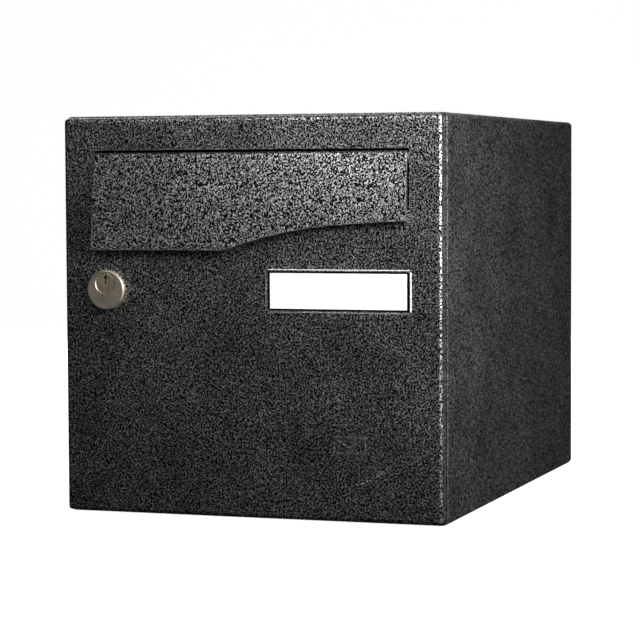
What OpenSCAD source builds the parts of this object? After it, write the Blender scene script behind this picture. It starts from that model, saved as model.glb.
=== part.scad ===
// Wall or post letter-and-parcel box in folded steel sheet, with a single front door.
// Frame: +Z up, +X to the right seen from the front, the front faces -Y.
// Origin: centre of the cabinet's base. Unlocked and closed is the rest position.

/* [Cabinet] */
// Width of the cabinet
body_w = 300; // [280:1:420]
// Height of the cabinet
body_h = 300; // [290:1:420]
// Depth of the cabinet without the door
body_d = 400; // [300:1:520]
// Thickness of the cabinet's sheet
body_t = 1.0; // [0.8:0.1:1.5]
// Outside bend radius of the cabinet's long and rear edges
body_r = 4; // [3:0.5:6]
// Width of the flange turned in at the rear
rear_flange = 14; // [12:1:20]
// Thickness of the rear panel
rear_t = 1.2; // [0.8:0.1:2]

/* [Wall and post fixing] */
// Diameter of the fixing holes
fix_hole_d = 8; // [6:0.5:10]
// Wall holes, hole to hole across and up
wall_pitch = 200; // [120:5:220]
// Base holes, hole to hole across
base_pitch_x = 200; // [120:5:220]
// Base holes, hole to hole front to back
base_pitch_y = 280; // [150:5:280]

/* [Front frame] */
// Face width of the frame that the door shuts against
frame_w = 14; // [13:0.5:16]
// Thickness of the frame's sheet
frame_t = 1.2; // [1:0.1:1.5]
// Depth of the frame's lip into the cabinet
frame_lip = 8; // [6:0.5:10]
// How far the frame steps back on the hinge side
frame_step = 3.2; // [3:0.1:4]

/* [Door] */
// Door edge inside the cabinet's outline
door_inset = 1.5; // [1:0.1:3]
// Gap between the door's rear edge and the cabinet
door_gap = 0.5; // [0.4:0.1:1]
// Depth of the door pan
door_depth = 9; // [9:0.5:12]
// Thickness of the door's sheet
door_t = 1.0; // [0.8:0.1:1.2]
// Radius of the door's front edges and corners
door_r = 3; // [2.5:0.1:4]

/* [Letter slot] */
// Width of the slot
slot_w = 249; // [200:1:252]
// Sideways place of the slot's centre
slot_x = -0.5; // [-2:0.5:2]
// Height of the slot
slot_h = 42.3; // [36:0.1:46]
// From the cabinet's top to the slot's top edge
slot_drop = 25.7; // [24:0.1:40]
// Depth of the slot's side cheeks
cheek_depth = 8; // [7.5:0.5:8.5]
// Depth of the fold along the slot's lower edge
sill_depth = 4; // [3:0.5:6]

/* [Flap] */
// Gap between the flap and each side of the slot
flap_gap = 1.5; // [1.4:0.1:3]
// Gap between the flap and the slot's top edge
flap_top_gap = 1.6; // [1.2:0.1:2.5]
// Length of the flap at its deep end, along its face
flap_len = 73.2; // [66:0.2:80]
// Thickness of the flap's sheet
flap_t = 1.0; // [0.8:0.1:1.2]
// Tilt of the flap's face at rest
flap_tilt = 6.5; // [5:0.5:9]
// Radius of the bend along the flap's top
flap_r = 3; // [2.5:0.1:3.5]
// Sideways place where the lower edge starts to rise
wave_x = -17.5; // [-40:0.5:10]
// Slope of the lower edge where it starts to rise
wave_slope = 20; // [16:0.5:24]
// Radius of the first, steeper stretch of the rise
wave_r1 = 329; // [300:1:360]
// Sideways place where the rise flattens
wave_join = 68.5; // [60:0.5:75]
// Radius of the last, flatter stretch
wave_r2 = 1350; // [1100:10:1600]

/* [Flap rod and springs] */
// Diameter of the flap's rod
rod_d = 4; // [3:0.1:4.4]
// Rod axis behind the door's face
rod_back = 4.7; // [4.5:0.1:5]
// Rod axis below the flap's top edge
rod_drop = 5.1; // [5:0.1:6]
// Wire of the torsion springs
wire_d = 0.9; // [0.6:0.1:1]
// Mean diameter of the springs' coils
coil_d = 6.2; // [6:0.1:6.4]
// Turns in each spring
coil_turns = 5; // [3:1:7]

/* [Lock] */
// Lock axis inside the door's left edge
lock_in = 34.4; // [30:0.1:38]
// Lock axis above the cabinet's base
lock_z = 174.5; // [140:0.5:180]
// Diameter of the rosette
rosette_d = 30; // [26:0.5:32]
// Rosette centre below the lock's axis
rosette_drop = 4.9; // [0:0.1:5]
// Height of the rosette off the door
rosette_h = 3.5; // [2:0.1:5]
// Diameter of the barrel
barrel_d = 19; // [17:0.5:20]
// Width across the barrel's flats
barrel_flats = 16; // [14:0.5:17]
// Diameter of the plug's visible head
plug_head_d = 15.2; // [13:0.1:16]
// Diameter of the plug inside the barrel
plug_d = 12; // [10:0.1:13]
// Length of the cam from the lock's axis
cam_len = 32; // [30:0.5:33]
// Width of the cam
cam_w = 15; // [12:0.5:16]
// Thickness of the cam
cam_t = 2; // [1.5:0.1:3]
// Square on the plug that drives the cam
cam_square = 7; // [6:0.5:8]

/* [Name window] */
// Width of the window's outer rim
window_w = 112; // [90:0.5:118]
// Height of the window's outer rim
window_h = 32; // [26:0.5:36]
// Sideways place of the window's centre
window_x = 69.5; // [60:0.5:72]
// Height of the window's centre above the cabinet's base
window_z = 170.2; // [110:0.1:172]
// From each side of the window's rim to the label
label_side = 3.5; // [3.2:0.1:6]
// From the window's rim to the label, above and below
label_edge = 3; // [2.9:0.1:5]
// Width of the rim that laps onto the door
window_lap = 1.6; // [1:0.1:2.5]
// Thickness of the window's walls
window_t = 1.2; // [1:0.1:1.4]

/* [Pressed relief] */
// Depth of the pressed crescents
press_depth = 0.9; // [0.5:0.1:1.2]
// Radius of the crescents' cross-section
press_r = 5; // [4:0.5:7]
// Sideways place of the envelope badge's centre
badge_x = 77.6; // [-60:0.1:100]
// Height of the envelope badge's centre above the cabinet's base
badge_z = 57.4; // [30:0.1:110]
// Width of the envelope badge
badge_w = 25; // [18:1:30]
// Height of the envelope badge
badge_h = 13; // [10:1:16]
// Line width of the badge
badge_line = 1.1; // [0.8:0.1:1.6]
// Height of the badge off the door
badge_up = 0.35; // [0.2:0.05:0.6]

/* [Hinges] */
// Hinge axis inside the door's right edge
hinge_in = 6; // [5.5:0.1:6]
// Diameter of the hinge pins
pin_d = 3.5; // [3:0.1:3.6]
// Radius of the hinge eyes
eye_r = 3.2; // [3:0.05:3.3]
// Height of the lower hinge above the base
hinge_low = 30; // [24:1:60]
// Height of the upper hinge below the top
hinge_high = 38; // [30:1:70]
// Thickness of the hinge brackets
bracket_t = 2; // [1.5:0.1:3]
// Thickness of the nylon washers on the hinge pins
washer_t = 0.8; // [0.5:0.1:1]
// Thickness of the hinge rail and its ears
rail_t = 1; // [0.8:0.1:1]
// Radial clearance of everything that turns on a pin or rod
run_clear = 0.05; // [0.02:0.01:0.1]

/* [Mail guard] */
// Width of the guard behind the slot
guard_w = 230; // [180:1:236]
// How far the guard reaches into the cabinet
guard_reach = 32; // [20:1:40]
// Downward slope of the guard
guard_slope = 12; // [5:1:20]
// Diameter of the welded studs that carry the guard
stud_d = 4; // [3:0.5:5]

/* [Hidden] */
$fn = 48;
arc_fn = 360;
wave_fn = 1440;
rest_gap = 0.3;
far = 1000;

// cabinet
half_w = body_w / 2;
front_y = -body_d / 2;
back_y = body_d / 2;
inner_r = body_r - body_t;
panel_r = 2;

// overrun of the cuts that go right through
over = 1;

// front frame
opening_x = half_w - body_t - frame_w;
opening_z0 = body_t + frame_w;
opening_z1 = body_h - body_t - frame_w;
step_y = front_y + frame_step;
lip_end = front_y + frame_lip;
step_lip_end = step_y + frame_lip + frame_step;

// door
door_x1 = half_w - door_inset;
door_z0 = door_inset;
door_z1 = body_h - door_inset;
door_back = front_y - door_gap;
face_y = door_back - door_depth;
skin_y = face_y + door_t;

// slot
slot_x0 = slot_x - slot_w / 2;
slot_x1 = slot_x + slot_w / 2;
slot_z1 = body_h - slot_drop;
slot_z0 = slot_z1 - slot_h;

// flap, in its own tilted frame about the rod
flap_x0 = slot_x0 + flap_gap;
flap_x1 = slot_x1 - flap_gap;
rod_y = face_y + rod_back;
rod_z = slot_z1 - flap_top_gap - rod_drop;
flap_front = -(rod_back * cos(flap_tilt) + rod_drop * sin(flap_tilt));
flap_top = rod_drop * cos(flap_tilt) - rod_back * sin(flap_tilt);
flap_bottom = flap_top - flap_len;
flap_return_y = face_y - rest_gap;
return_reach = 16;
ear_r = 3.9;
bush_r = rod_d / 2 + 1;
bush_flange_r = bush_r + 0.8;
bush_flange_t = flap_gap - 0.5;

// flap rod and springs
rod_over = 2;
cap_t = 1;
cap_r = rod_d / 2 + 1.6;
spring_in = 12;
turn_steps = 16;
coil_r = coil_d / 2;
coil_pitch = wire_d * 1.15;
leg_gap = wire_d / 2 + rest_gap;
door_leg_y = skin_y + leg_gap - rod_y;
door_leg_z = slot_z1 - rod_z + 8;
bypass_y = flap_top + 2;
flap_leg_y = flap_front + flap_t + leg_gap;
wire_sides = 8;

// centres of the two arcs of the flap's lower edge, and how far left of its start they may cut
wave_margin = 12;
wave1 = [wave_x + wave_r1 * sin(wave_slope), flap_bottom - wave_r1 * cos(wave_slope)];
wave_join_z = wave1.y + sqrt(pow(wave_r1, 2) - pow(wave_join - wave1.x, 2));
wave_turn = asin((wave1.x - wave_join) / wave_r1);
wave2 = [wave_join + wave_r2 * sin(wave_turn), wave_join_z - wave_r2 * cos(wave_turn)];

// pressed crescents: the arc's centre, its radius, the direction of its middle and its half angle
left_crescent = [[148.7, -22.8], 282.2, 148.8, 14.5];
right_crescent = [[50.6, 111.4], 87.6, -54.2, 17];

// lock
lock_x = -door_x1 + lock_in;
lock_clear = 0.1;
rosette_y = face_y - rosette_h;
strike_t = 1.5;
strike_y = lip_end + strike_t;
cam_y = strike_y + 0.4;
barrel_end = cam_y - 0.5;
nut_t = 5;
nut_flats = 24;
rosette_edge = 1;
plug_sink = 0.6;
plug_head_y = rosette_y + plug_sink;
plug_head_t = 2;
plug_head_clear = 0.25;
plug_seat_clear = 0.1;
cam_washer_t = 1;
cam_washer_r = cam_square * 0.75;
washer_clear = 0.15;
cam_screw_d = 4;
cam_screw_len = 8;
screw_short = 0.5;
screw_head_t = 2.6;
drive_w = 0.9;
key_w = 1.6;
key_depth = 8;

// name window
window_rim_t = 1.2;
label_w = window_w - 2 * label_side;
label_h = window_h - 2 * label_edge;
pocket_w = label_w + 2 * rest_gap;
pocket_h = label_h + 2 * rest_gap;
throat_w = window_w - 2 * window_lap;
throat_h = window_h - 2 * window_lap;
throat_clear = 0.15;
throat_r = 2;
rim_r = 3;
throat_end = skin_y + 4;
label_t = 0.4;
label_y = face_y - window_rim_t + window_t;
carrier_t = 1.5;
carrier_clear = 0.2;
carrier_lap = 1.5;
grip_w = 20;
grip_h = 4;
grip_t = 2;

// hinges
pivot_x = door_x1 - hinge_in;
pivot_y = face_y + door_depth / 2;
pin_r = pin_d / 2;
ear_hole_r = pin_r + run_clear;
hinge_levels = [hinge_low, body_h - hinge_high];
arm_w = 4;
arm_relief = 1.6;
foot_t = 1.5;
foot_h = 30;
foot_y0 = step_y + 1;
foot_y1 = step_lip_end - 0.6;
pin_over = 3;
pin_head_r = 2.6;
pin_head_t = 1;
rivet_d = 3.2;
rivet_head_r = 2.8;
rivet_head_t = 1;
rivet_levels = [-10, 10];
foot_rivet_y = (foot_y0 + foot_y1) / 2;
rail_y0 = skin_y + door_r - door_t + rest_gap;
rail_short = 10;
rail_back = 0.5;

// strike
strike_x1 = -opening_x - frame_t;
strike_reach = 11;
strike_h = 44;
strike_z0 = lock_z - strike_h / 2;
strike_z1 = lock_z + strike_h / 2;
strike_rivet_in = 6;
strike_rivet_levels = [strike_z0 + strike_rivet_in, strike_z1 - strike_rivet_in];
strike_rivet_y = (front_y + frame_t + lip_end) / 2;

// mail guard
guard_leg = 22;
guard_lip = 6;
guard_top = slot_z0 - door_t - rest_gap;
guard_t = 1;
stud_in = 25;
stud_up = 8;
stud_x = guard_w / 2 - stud_in;
stud_z = guard_top - guard_leg + stud_up;
stud_len = 7;
stud_clear = 0.2;
stud_nut_flats = 7;
stud_nut_t = 3.2;

// door buffers
buffer_d = 8;
buffer_step = 1;
buffer_y = skin_y + rest_gap;
buffer_x = -(opening_x + frame_w / 2);
buffer_levels = [40, body_h - 60];

paint = [0.16, 0.16, 0.17];
paint_light = [0.26, 0.26, 0.27];
bare_steel = [0.72, 0.73, 0.75];
nickel = [0.55, 0.52, 0.46];
nylon = [0.86, 0.86, 0.84];
black_rubber = [0.08, 0.08, 0.08];

// ---- shared shapes ----

// rectangle from corner a to corner b with rounded corners
module round_rect(a, b, r) {
    if (r <= 0) {
        translate(a) square(b - a);
    } else {
        translate([a.x + r, a.y]) square([b.x - a.x - 2 * r, b.y - a.y]);
        translate([a.x, a.y + r]) square([b.x - a.x, b.y - a.y - 2 * r]);
        for (x = [a.x + r, b.x - r], y = [a.y + r, b.y - r])
            translate([x, y]) circle(r);
    }
}

// what is drawn in 2D as X and Z becomes a plate from y0 to y1
module plate(y0, y1) {
    translate([0, y1, 0]) rotate([90, 0, 0]) linear_extrude(y1 - y0) children();
}

module box(a, b) {
    translate(a) cube(b - a);
}

// rod along Y from y0 to y1
module rod_y(x, z, y0, y1, r) {
    translate([x, y1, z]) rotate([90, 0, 0]) cylinder(h = y1 - y0, r = r);
}

// rod along X from x0 to x1
module rod_x(x0, x1, y, z, r) {
    translate([x0, y, z]) rotate([0, 90, 0]) cylinder(h = x1 - x0, r = r);
}

// slab in the XZ plane whose face at y_round has rounded edges and whose face at y_flat is cut square
module soft_slab(a, b, y_round, y_flat, r) {
    s = y_flat > y_round ? 1 : -1;
    y_r = y_round + s * r;
    plate(min(y_r, y_flat), max(y_r, y_flat)) round_rect(a, b, r);
    plate(min(y_round, y_r), max(y_round, y_r)) round_rect(a + [r, r], b - [r, r], 0);
    for (z = [a.y + r, b.y - r]) rod_x(a.x + r, b.x - r, y_r, z, r);
    for (x = [a.x + r, b.x - r]) {
        translate([x, y_r, a.y + r]) cylinder(h = b.y - a.y - 2 * r, r = r);
        for (z = [a.y + r, b.y - r]) translate([x, y_r, z]) sphere(r);
    }
}

// tube that dips through the door's face along an arc and comes out again at both ends
module dipping_tube(centre, arc_r, mid, half, tube_r) {
    sag = arc_r * (1 - cos(half));
    tilt = atan(press_depth / sag);
    pivot = arc_r * cos(half);
    translate([centre.x, face_y - press_r, centre.y])
        rotate([0, -mid, 0])
            translate([pivot, 0, 0]) rotate([0, 0, tilt]) translate([-pivot, 0, 0])
                rotate([90, 0, 0]) rotate([0, 0, -half - 2])
                    rotate_extrude(angle = 2 * half + 4, $fn = arc_fn)
                        translate([arc_r, 0]) circle(tube_r, $fn = 48);
}

module crescents(tube_r)
    for (c = [left_crescent, right_crescent]) dipping_tube(c[0], c[1], c[2], c[3], tube_r);

// flat-headed rivet along X, its shank from x0 to x1 with a head outside each end
module rivet_x(x0, x1, y, z) {
    rod_x(x0, x1, y, z, rivet_d / 2);
    rod_x(x1, x1 + rivet_head_t, y, z, rivet_head_r);
    rod_x(x0 - rivet_head_t / 2, x0, y, z, rivet_head_r);
}

module hexagon(flats) {
    circle(flats / sqrt(3), $fn = 6);
}

// ---- cabinet ----

module body_shell() color(paint) difference() {
    soft_slab([-half_w, 0], [half_w, body_h], back_y, front_y, body_r);
    soft_slab([-half_w + body_t, body_t], [half_w - body_t, body_h - body_t],
        back_y - body_t, front_y - over, inner_r);
    plate(back_y - 2 * body_t, back_y + over)
        round_rect([-half_w + rear_flange, rear_flange],
            [half_w - rear_flange, body_h - rear_flange], inner_r);
    for (x = [-1, 1] * base_pitch_x / 2, y = [-1, 1] * base_pitch_y / 2)
        translate([x, y, -over]) cylinder(h = body_t + 2 * over, d = fix_hole_d);
}

module rear_panel() color(paint) {
    edge = body_r + rest_gap;
    difference() {
        plate(back_y - body_t - rear_t, back_y - body_t)
            round_rect([-half_w + edge, edge], [half_w - edge, body_h - edge], panel_r);
        for (x = [-1, 1] * wall_pitch / 2, dz = [-1, 1] * wall_pitch / 2)
            rod_y(x, body_h / 2 + dz, back_y - body_t - rear_t - over, back_y, fix_hole_d / 2);
    }
}

module frame_outline() {
    round_rect([-half_w + body_t, body_t], [half_w - body_t, body_h - body_t], inner_r);
}

// the frame's four strips with the hinge side stepped back so that the door's heel can swing in
module front_frame() color(paint) difference() {
    frame_strips();
    strike_holes();
    for (level = hinge_levels) bracket_holes(level);
}

module frame_strips() {
    step_x = opening_x + frame_t;
    plate(front_y, front_y + frame_t) difference() {
        intersection() {
            frame_outline();
            round_rect([-half_w, 0], [step_x, body_h], 0);
        }
        round_rect([-opening_x, opening_z0], [half_w, opening_z1], 0);
    }
    plate(step_y, step_y + frame_t) intersection() {
        frame_outline();
        round_rect([opening_x, 0], [half_w, body_h], 0);
    }
    plate(front_y, step_y + frame_t) difference() {
        round_rect([opening_x, body_t], [step_x, body_h - body_t], 0);
        round_rect([0, opening_z0], [half_w, opening_z1], 0);
    }
    for (z = [opening_z0 - frame_t, opening_z1])
        box([-opening_x - frame_t, front_y, z], [step_x, lip_end, z + frame_t]);
    box([-opening_x - frame_t, front_y, opening_z0 - frame_t],
        [-opening_x, lip_end, opening_z1 + frame_t]);
    box([opening_x, step_y, opening_z0 - frame_t],
        [step_x, step_lip_end, opening_z1 + frame_t]);
}

module strike_holes() {
    for (z = strike_rivet_levels)
        rod_x(strike_x1 - strike_t - over, -opening_x + over, strike_rivet_y, z, rivet_d / 2);
}

// angle behind the frame's lip that the cam turns behind
module strike_plate() color(bare_steel) difference() {
    union() {
        box([strike_x1 - strike_t, front_y + frame_t, strike_z0],
            [strike_x1, strike_y, strike_z1]);
        box([strike_x1 - strike_reach, lip_end, strike_z0], [strike_x1, strike_y, strike_z1]);
    }
    strike_holes();
}

module strike_rivets() color(bare_steel)
    for (z = strike_rivet_levels)
        rivet_x(strike_x1 - strike_t, -opening_x, strike_rivet_y, z);

// ---- hinges ----

module bracket_holes(level) {
    for (dz = rivet_levels)
        rod_x(opening_x - foot_t - over, opening_x + frame_t + over, foot_rivet_y,
            level + bracket_t / 2 + dz, rivet_d / 2);
}

// arm that comes out round the door's heel to the hinge axis, and the foot that carries it
module hinge_bracket(level) color(bare_steel) difference() {
    union() {
        translate([0, 0, level]) linear_extrude(bracket_t) {
            translate([pivot_x, pivot_y]) circle(eye_r);
            translate([opening_x - arm_w, pivot_y - eye_r])
                square([pivot_x - opening_x + arm_w, 2 * eye_r - arm_relief]);
            translate([opening_x - arm_w, pivot_y - eye_r])
                square([arm_w, foot_y1 - pivot_y + eye_r]);
        }
        box([opening_x - foot_t, foot_y0, level + bracket_t / 2 - foot_h / 2],
            [opening_x, foot_y1, level + bracket_t / 2 + foot_h / 2]);
    }
    translate([pivot_x, pivot_y, level - over]) cylinder(h = bracket_t + 2 * over, r = pin_r);
    bracket_holes(level);
}

module hinge_bracket_top() hinge_bracket(hinge_levels[1]);
module hinge_bracket_bottom() hinge_bracket(hinge_levels[0]);

module hinge_rivets() color(bare_steel)
    for (level = hinge_levels, dz = rivet_levels)
        rivet_x(opening_x - foot_t, opening_x + frame_t, foot_rivet_y,
            level + bracket_t / 2 + dz);

module hinge_pin(level) color(bare_steel) {
    translate([pivot_x, pivot_y, level])
        cylinder(h = bracket_t + washer_t + rail_t + pin_over, r = pin_r);
    translate([pivot_x, pivot_y, level - pin_head_t]) cylinder(h = pin_head_t, r = pin_head_r);
}

module hinge_pin_top() hinge_pin(hinge_levels[1]);
module hinge_pin_bottom() hinge_pin(hinge_levels[0]);

module hinge_washers() color(nylon)
    for (level = hinge_levels)
        translate([pivot_x, pivot_y, level + bracket_t]) difference() {
            cylinder(h = washer_t, r = eye_r);
            translate([0, 0, -over]) cylinder(h = washer_t + 2 * over, r = pin_r);
        }

// strip along the inside of the door's right edge with an ear over each bracket
module hinge_rail() color(paint) {
    rail_x1 = door_x1 - door_t;
    box([rail_x1 - rail_t, rail_y0, door_z0 + rail_short],
        [rail_x1, door_back - rail_back, door_z1 - rail_short]);
    for (level = hinge_levels)
        translate([0, 0, level + bracket_t + washer_t]) linear_extrude(rail_t) difference() {
            union() {
                translate([pivot_x, pivot_y]) circle(eye_r);
                translate([pivot_x, rail_y0])
                    square([rail_x1 - pivot_x, pivot_y + eye_r - rail_y0]);
            }
            translate([pivot_x, pivot_y]) circle(ear_hole_r);
        }
}

// rubber stops on the frame that the closed door rests on
module door_buffers() color(black_rubber)
    for (z = buffer_levels) {
        rod_y(buffer_x, z, buffer_y + buffer_step, front_y, buffer_d / 2);
        rod_y(buffer_x, z, buffer_y, buffer_y + buffer_step, buffer_d / 2 - buffer_step);
    }

// ---- door ----

module slot_folds() {
    for (x = [slot_x0 - door_t, slot_x1])
        box([x, face_y, slot_z0 - door_t], [x + door_t, face_y + cheek_depth, slot_z1]);
    box([slot_x0, face_y, slot_z0 - door_t], [slot_x1, face_y + sill_depth, slot_z0]);
}

// generic envelope in raised lines
module badge() {
    centre = [badge_x, badge_z];
    low = centre - [badge_w, badge_h] / 2;
    high = centre + [badge_w, badge_h] / 2;
    fold_z = centre.y - badge_h / 8;
    line = badge_line * 1.2;
    difference() {
        round_rect(low, high, badge_line);
        round_rect(low + [1, 1] * badge_line, high - [1, 1] * badge_line, 0);
    }
    for (side = [low.x, high.x])
        polygon([[side, high.y], [side, high.y - line], [centre.x, fold_z - line],
            [centre.x, fold_z]]);
}

module barrel_outline(clear) {
    intersection() {
        translate([lock_x, lock_z]) circle(barrel_d / 2 + clear);
        translate([lock_x - barrel_flats / 2 - clear, lock_z - barrel_d])
            square([barrel_flats + 2 * clear, 2 * barrel_d]);
    }
}

module door_panel() color(paint) difference() {
    union() {
        difference() {
            soft_slab([-door_x1, door_z0], [door_x1, door_z1], face_y, door_back, door_r);
            soft_slab([-door_x1 + door_t, door_z0 + door_t], [door_x1 - door_t, door_z1 - door_t],
                skin_y, door_back + over, door_r - door_t);
        }
        slot_folds();
        intersection() {
            crescents(press_r + door_t);
            plate(face_y, door_back)
                round_rect([-door_x1 + door_r, door_z0 + door_r],
                    [door_x1 - door_r, door_z1 - door_r], 0);
        }
        plate(face_y - badge_up, skin_y) badge();
        for (x = [-stud_x, stud_x]) rod_y(x, stud_z, skin_y, skin_y + stud_len, stud_d / 2);
    }
    crescents(press_r);
    plate(face_y - over, face_y + cheek_depth)
        round_rect([slot_x0, slot_z0], [slot_x1, slot_z1], 0);
    for (x = [slot_x0, slot_x1])
        rod_x(x - door_t - over, x + door_t + over, rod_y, rod_z, rod_d / 2);
    plate(face_y - over, skin_y + over) barrel_outline(lock_clear);
    plate(face_y - over, skin_y + over)
        window_rect(throat_w + 2 * throat_clear, throat_h + 2 * throat_clear, throat_r);
}

// ---- flap, rod and springs ----

module in_flap_frame() {
    translate([0, rod_y, rod_z]) rotate([-flap_tilt, 0, 0]) children();
}

// everything under the flap's lower edge, raised by inset
module under_wave(inset) {
    intersection() {
        translate(wave1) circle(wave_r1 + inset, $fn = wave_fn);
        translate([wave_join - far, flap_bottom - over]) square([far, far]);
    }
    intersection() {
        translate(wave2) circle(wave_r2 + inset, $fn = 2 * wave_fn);
        translate([wave_join, flap_bottom - over]) square([far, far]);
    }
}

module flap_outline(inset, top) {
    difference() {
        translate([flap_x0 + inset, flap_bottom + inset])
            square([flap_x1 - flap_x0 - 2 * inset, top - flap_bottom - inset]);
        intersection() {
            under_wave(inset);
            translate([wave_x - wave_margin, flap_bottom - over]) square([far, far]);
        }
    }
}

module letter_flap() color(paint_light) difference() {
    union() {
        in_flap_frame() plate(flap_front, flap_front + flap_t) flap_outline(0, -ear_r);
        intersection() {
            in_flap_frame() plate(flap_front, flap_front + return_reach) difference() {
                flap_outline(0, -ear_r);
                flap_outline(flap_t, flap_top);
            }
            box([-far, -far, -far], [far, flap_return_y, far]);
        }
        in_flap_frame() flap_head();
    }
    for (x = [flap_x0, flap_x1])
        rod_x(x - 2 * flap_t, x + 2 * flap_t, rod_y, rod_z, bush_r);
}

// the bend along the top with the short fold behind it, closed at each end by an ear round the rod
module flap_head() {
    bend_y = flap_front + flap_r;
    bend_z = flap_top - flap_r;
    difference() {
        union() {
            rod_x(flap_x0, flap_x1, bend_y, bend_z, flap_r);
            rod_x(flap_x0, flap_x1, 0, 0, ear_r);
            box([flap_x0, flap_front, -ear_r], [flap_x1, 0, bend_z]);
            box([flap_x0, bend_y, bend_z], [flap_x1, 0, flap_top]);
        }
        rod_x(flap_x0 + flap_t, flap_x1 - flap_t, bend_y, bend_z, flap_r - flap_t);
        box([flap_x0 + flap_t, flap_front + flap_t, -ear_r - 1], [flap_x1 - flap_t, 20, bend_z]);
        box([flap_x0 + flap_t, bend_y, -ear_r - 1], [flap_x1 - flap_t, 20, flap_top - flap_t]);
    }
}

module flap_bushes() color(nylon)
    for (side = [-1, 1]) {
        outer = side < 0 ? flap_x0 : flap_x1;
        difference() {
            union() {
                rod_x(min(outer, outer - side * flap_t), max(outer, outer - side * flap_t),
                    rod_y, rod_z, bush_r);
                rod_x(min(outer, outer + side * bush_flange_t),
                    max(outer, outer + side * bush_flange_t), rod_y, rod_z, bush_flange_r);
            }
            rod_x(outer - 2 * flap_t, outer + 2 * flap_t, rod_y, rod_z,
                rod_d / 2 + run_clear);
        }
    }

module flap_rod() color(bare_steel)
    rod_x(slot_x0 - door_t - rod_over, slot_x1 + door_t + rod_over, rod_y, rod_z, rod_d / 2);

module rod_caps() color(bare_steel)
    for (x = [slot_x0 - door_t - cap_t, slot_x1 + door_t])
        difference() {
            rod_x(x, x + cap_t, rod_y, rod_z, cap_r);
            rod_x(x - over, x + cap_t + over, rod_y, rod_z, rod_d / 2);
        }

// torsion spring about the X axis: one leg round behind the flap's head to the door's skin,
// the coil, and one leg down the back of the flap
function coil_point(i, side) =
    let (a = -90 - i * 360 / turn_steps)
    [side * i * coil_pitch / turn_steps, coil_r * cos(a), coil_r * sin(a)];

// point in the flap's tilted frame, seen along the rod
function on_flap(x, y, z) =
    [x, y * cos(flap_tilt) + z * sin(flap_tilt), z * cos(flap_tilt) - y * sin(flap_tilt)];

function spring_path(side) =
    let (n = coil_turns * turn_steps)
    let (end_x = coil_point(n, side).x)
    concat(
        [
            [0, door_leg_y, door_leg_z], [0, door_leg_y, door_leg_z - 4],
            [0, bypass_y - 1, door_leg_z - 6.5], [0, bypass_y, door_leg_z - 8],
            [0, bypass_y, -coil_r / 2], [0, bypass_y - 1.5, -coil_r]
        ],
        [for (i = [0 : n]) coil_point(i, side)],
        [for (z = [-4, -5.5, -12, -20]) on_flap(end_x, z > -5 ? flap_leg_y + 1.4 : flap_leg_y, z)]
    );

// ring of the wire about a point of a path that stays near planes across X
function wire_ring(p, t, r) =
    let (across = cross(t, [1, 0, 0]))
    let (a = across / norm(across))
    let (b = cross(a, t))
    [for (k = [0 : wire_sides - 1])
        let (turn = k * 360 / wire_sides)
        p + r * (cos(turn) * a + sin(turn) * b)];

module wire(path, r) {
    n = len(path);
    m = wire_sides;
    rings = [for (i = [0 : n - 1])
        let (d = path[min(i + 1, n - 1)] - path[max(i - 1, 0)])
        each wire_ring(path[i], d / norm(d), r)];
    sides = [for (i = [0 : n - 2], k = [0 : m - 1])
        [i * m + k, i * m + (k + 1) % m, (i + 1) * m + (k + 1) % m, (i + 1) * m + k]];
    first_end = [for (k = [m - 1 : -1 : 0]) k];
    last_end = [for (k = [0 : m - 1]) (n - 1) * m + k];
    polyhedron(rings, concat([first_end], sides, [last_end]), convexity = 8);
}

module flap_spring(side) color(bare_steel)
    translate([side < 0 ? flap_x0 + spring_in : flap_x1 - spring_in, rod_y, rod_z])
        wire(spring_path(-side), wire_d / 2);

module flap_spring_left() flap_spring(-1);
module flap_spring_right() flap_spring(1);

// ---- mail guard ----

module mail_guard() color(paint) difference() {
    union() {
        box([-guard_w / 2, skin_y, guard_top - guard_leg], [guard_w / 2, skin_y + guard_t, guard_top]);
        translate([-guard_w / 2, skin_y, guard_top - guard_t]) rotate([-guard_slope, 0, 0]) {
            cube([guard_w, guard_reach, guard_t]);
            translate([0, guard_reach - guard_t, -guard_lip]) cube([guard_w, guard_t, guard_lip]);
        }
    }
    for (x = [-stud_x, stud_x])
        rod_y(x, stud_z, skin_y - over, skin_y + guard_t + over, stud_d / 2 + stud_clear);
    box([-far, skin_y - guard_t, 0], [far, skin_y, far]);
}

module guard_nuts() color(bare_steel)
    for (x = [-stud_x, stud_x])
        plate(skin_y + guard_t, skin_y + guard_t + stud_nut_t) difference() {
            translate([x, stud_z]) hexagon(stud_nut_flats);
            translate([x, stud_z]) circle(stud_d / 2);
        }

// ---- lock ----

module lock_body() color(nickel) difference() {
    union() {
        rod_y(lock_x, lock_z - rosette_drop, rosette_y + rosette_edge, face_y, rosette_d / 2);
        translate([lock_x, rosette_y + rosette_edge, lock_z - rosette_drop]) rotate([90, 0, 0])
            cylinder(h = rosette_edge, r1 = rosette_d / 2, r2 = rosette_d / 2 - rosette_edge);
        plate(face_y, barrel_end) barrel_outline(0);
    }
    rod_y(lock_x, lock_z, rosette_y - over, plug_head_y + plug_head_t,
        plug_head_d / 2 + plug_head_clear);
    rod_y(lock_x, lock_z, rosette_y, barrel_end + over, plug_d / 2 + run_clear);
}

module lock_nut() color(bare_steel)
    plate(skin_y, skin_y + nut_t) difference() {
        translate([lock_x, lock_z]) hexagon(nut_flats);
        barrel_outline(0);
    }

// zigzag key slot in the upper half of the plug's head
module keyway() {
    k = key_w / 2;
    translate([lock_x, lock_z]) polygon([
        [-k, 6.6], [k, 6.6], [k, 5], [k + 0.8, 4.2], [k, 3.2], [k - 0.6, 2.2], [k, 1.4],
        [k, -0.6], [-k, -0.6], [-k, 1], [-k + 0.6, 2], [-k, 3], [-k - 0.8, 4], [-k, 5]
    ]);
}

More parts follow.
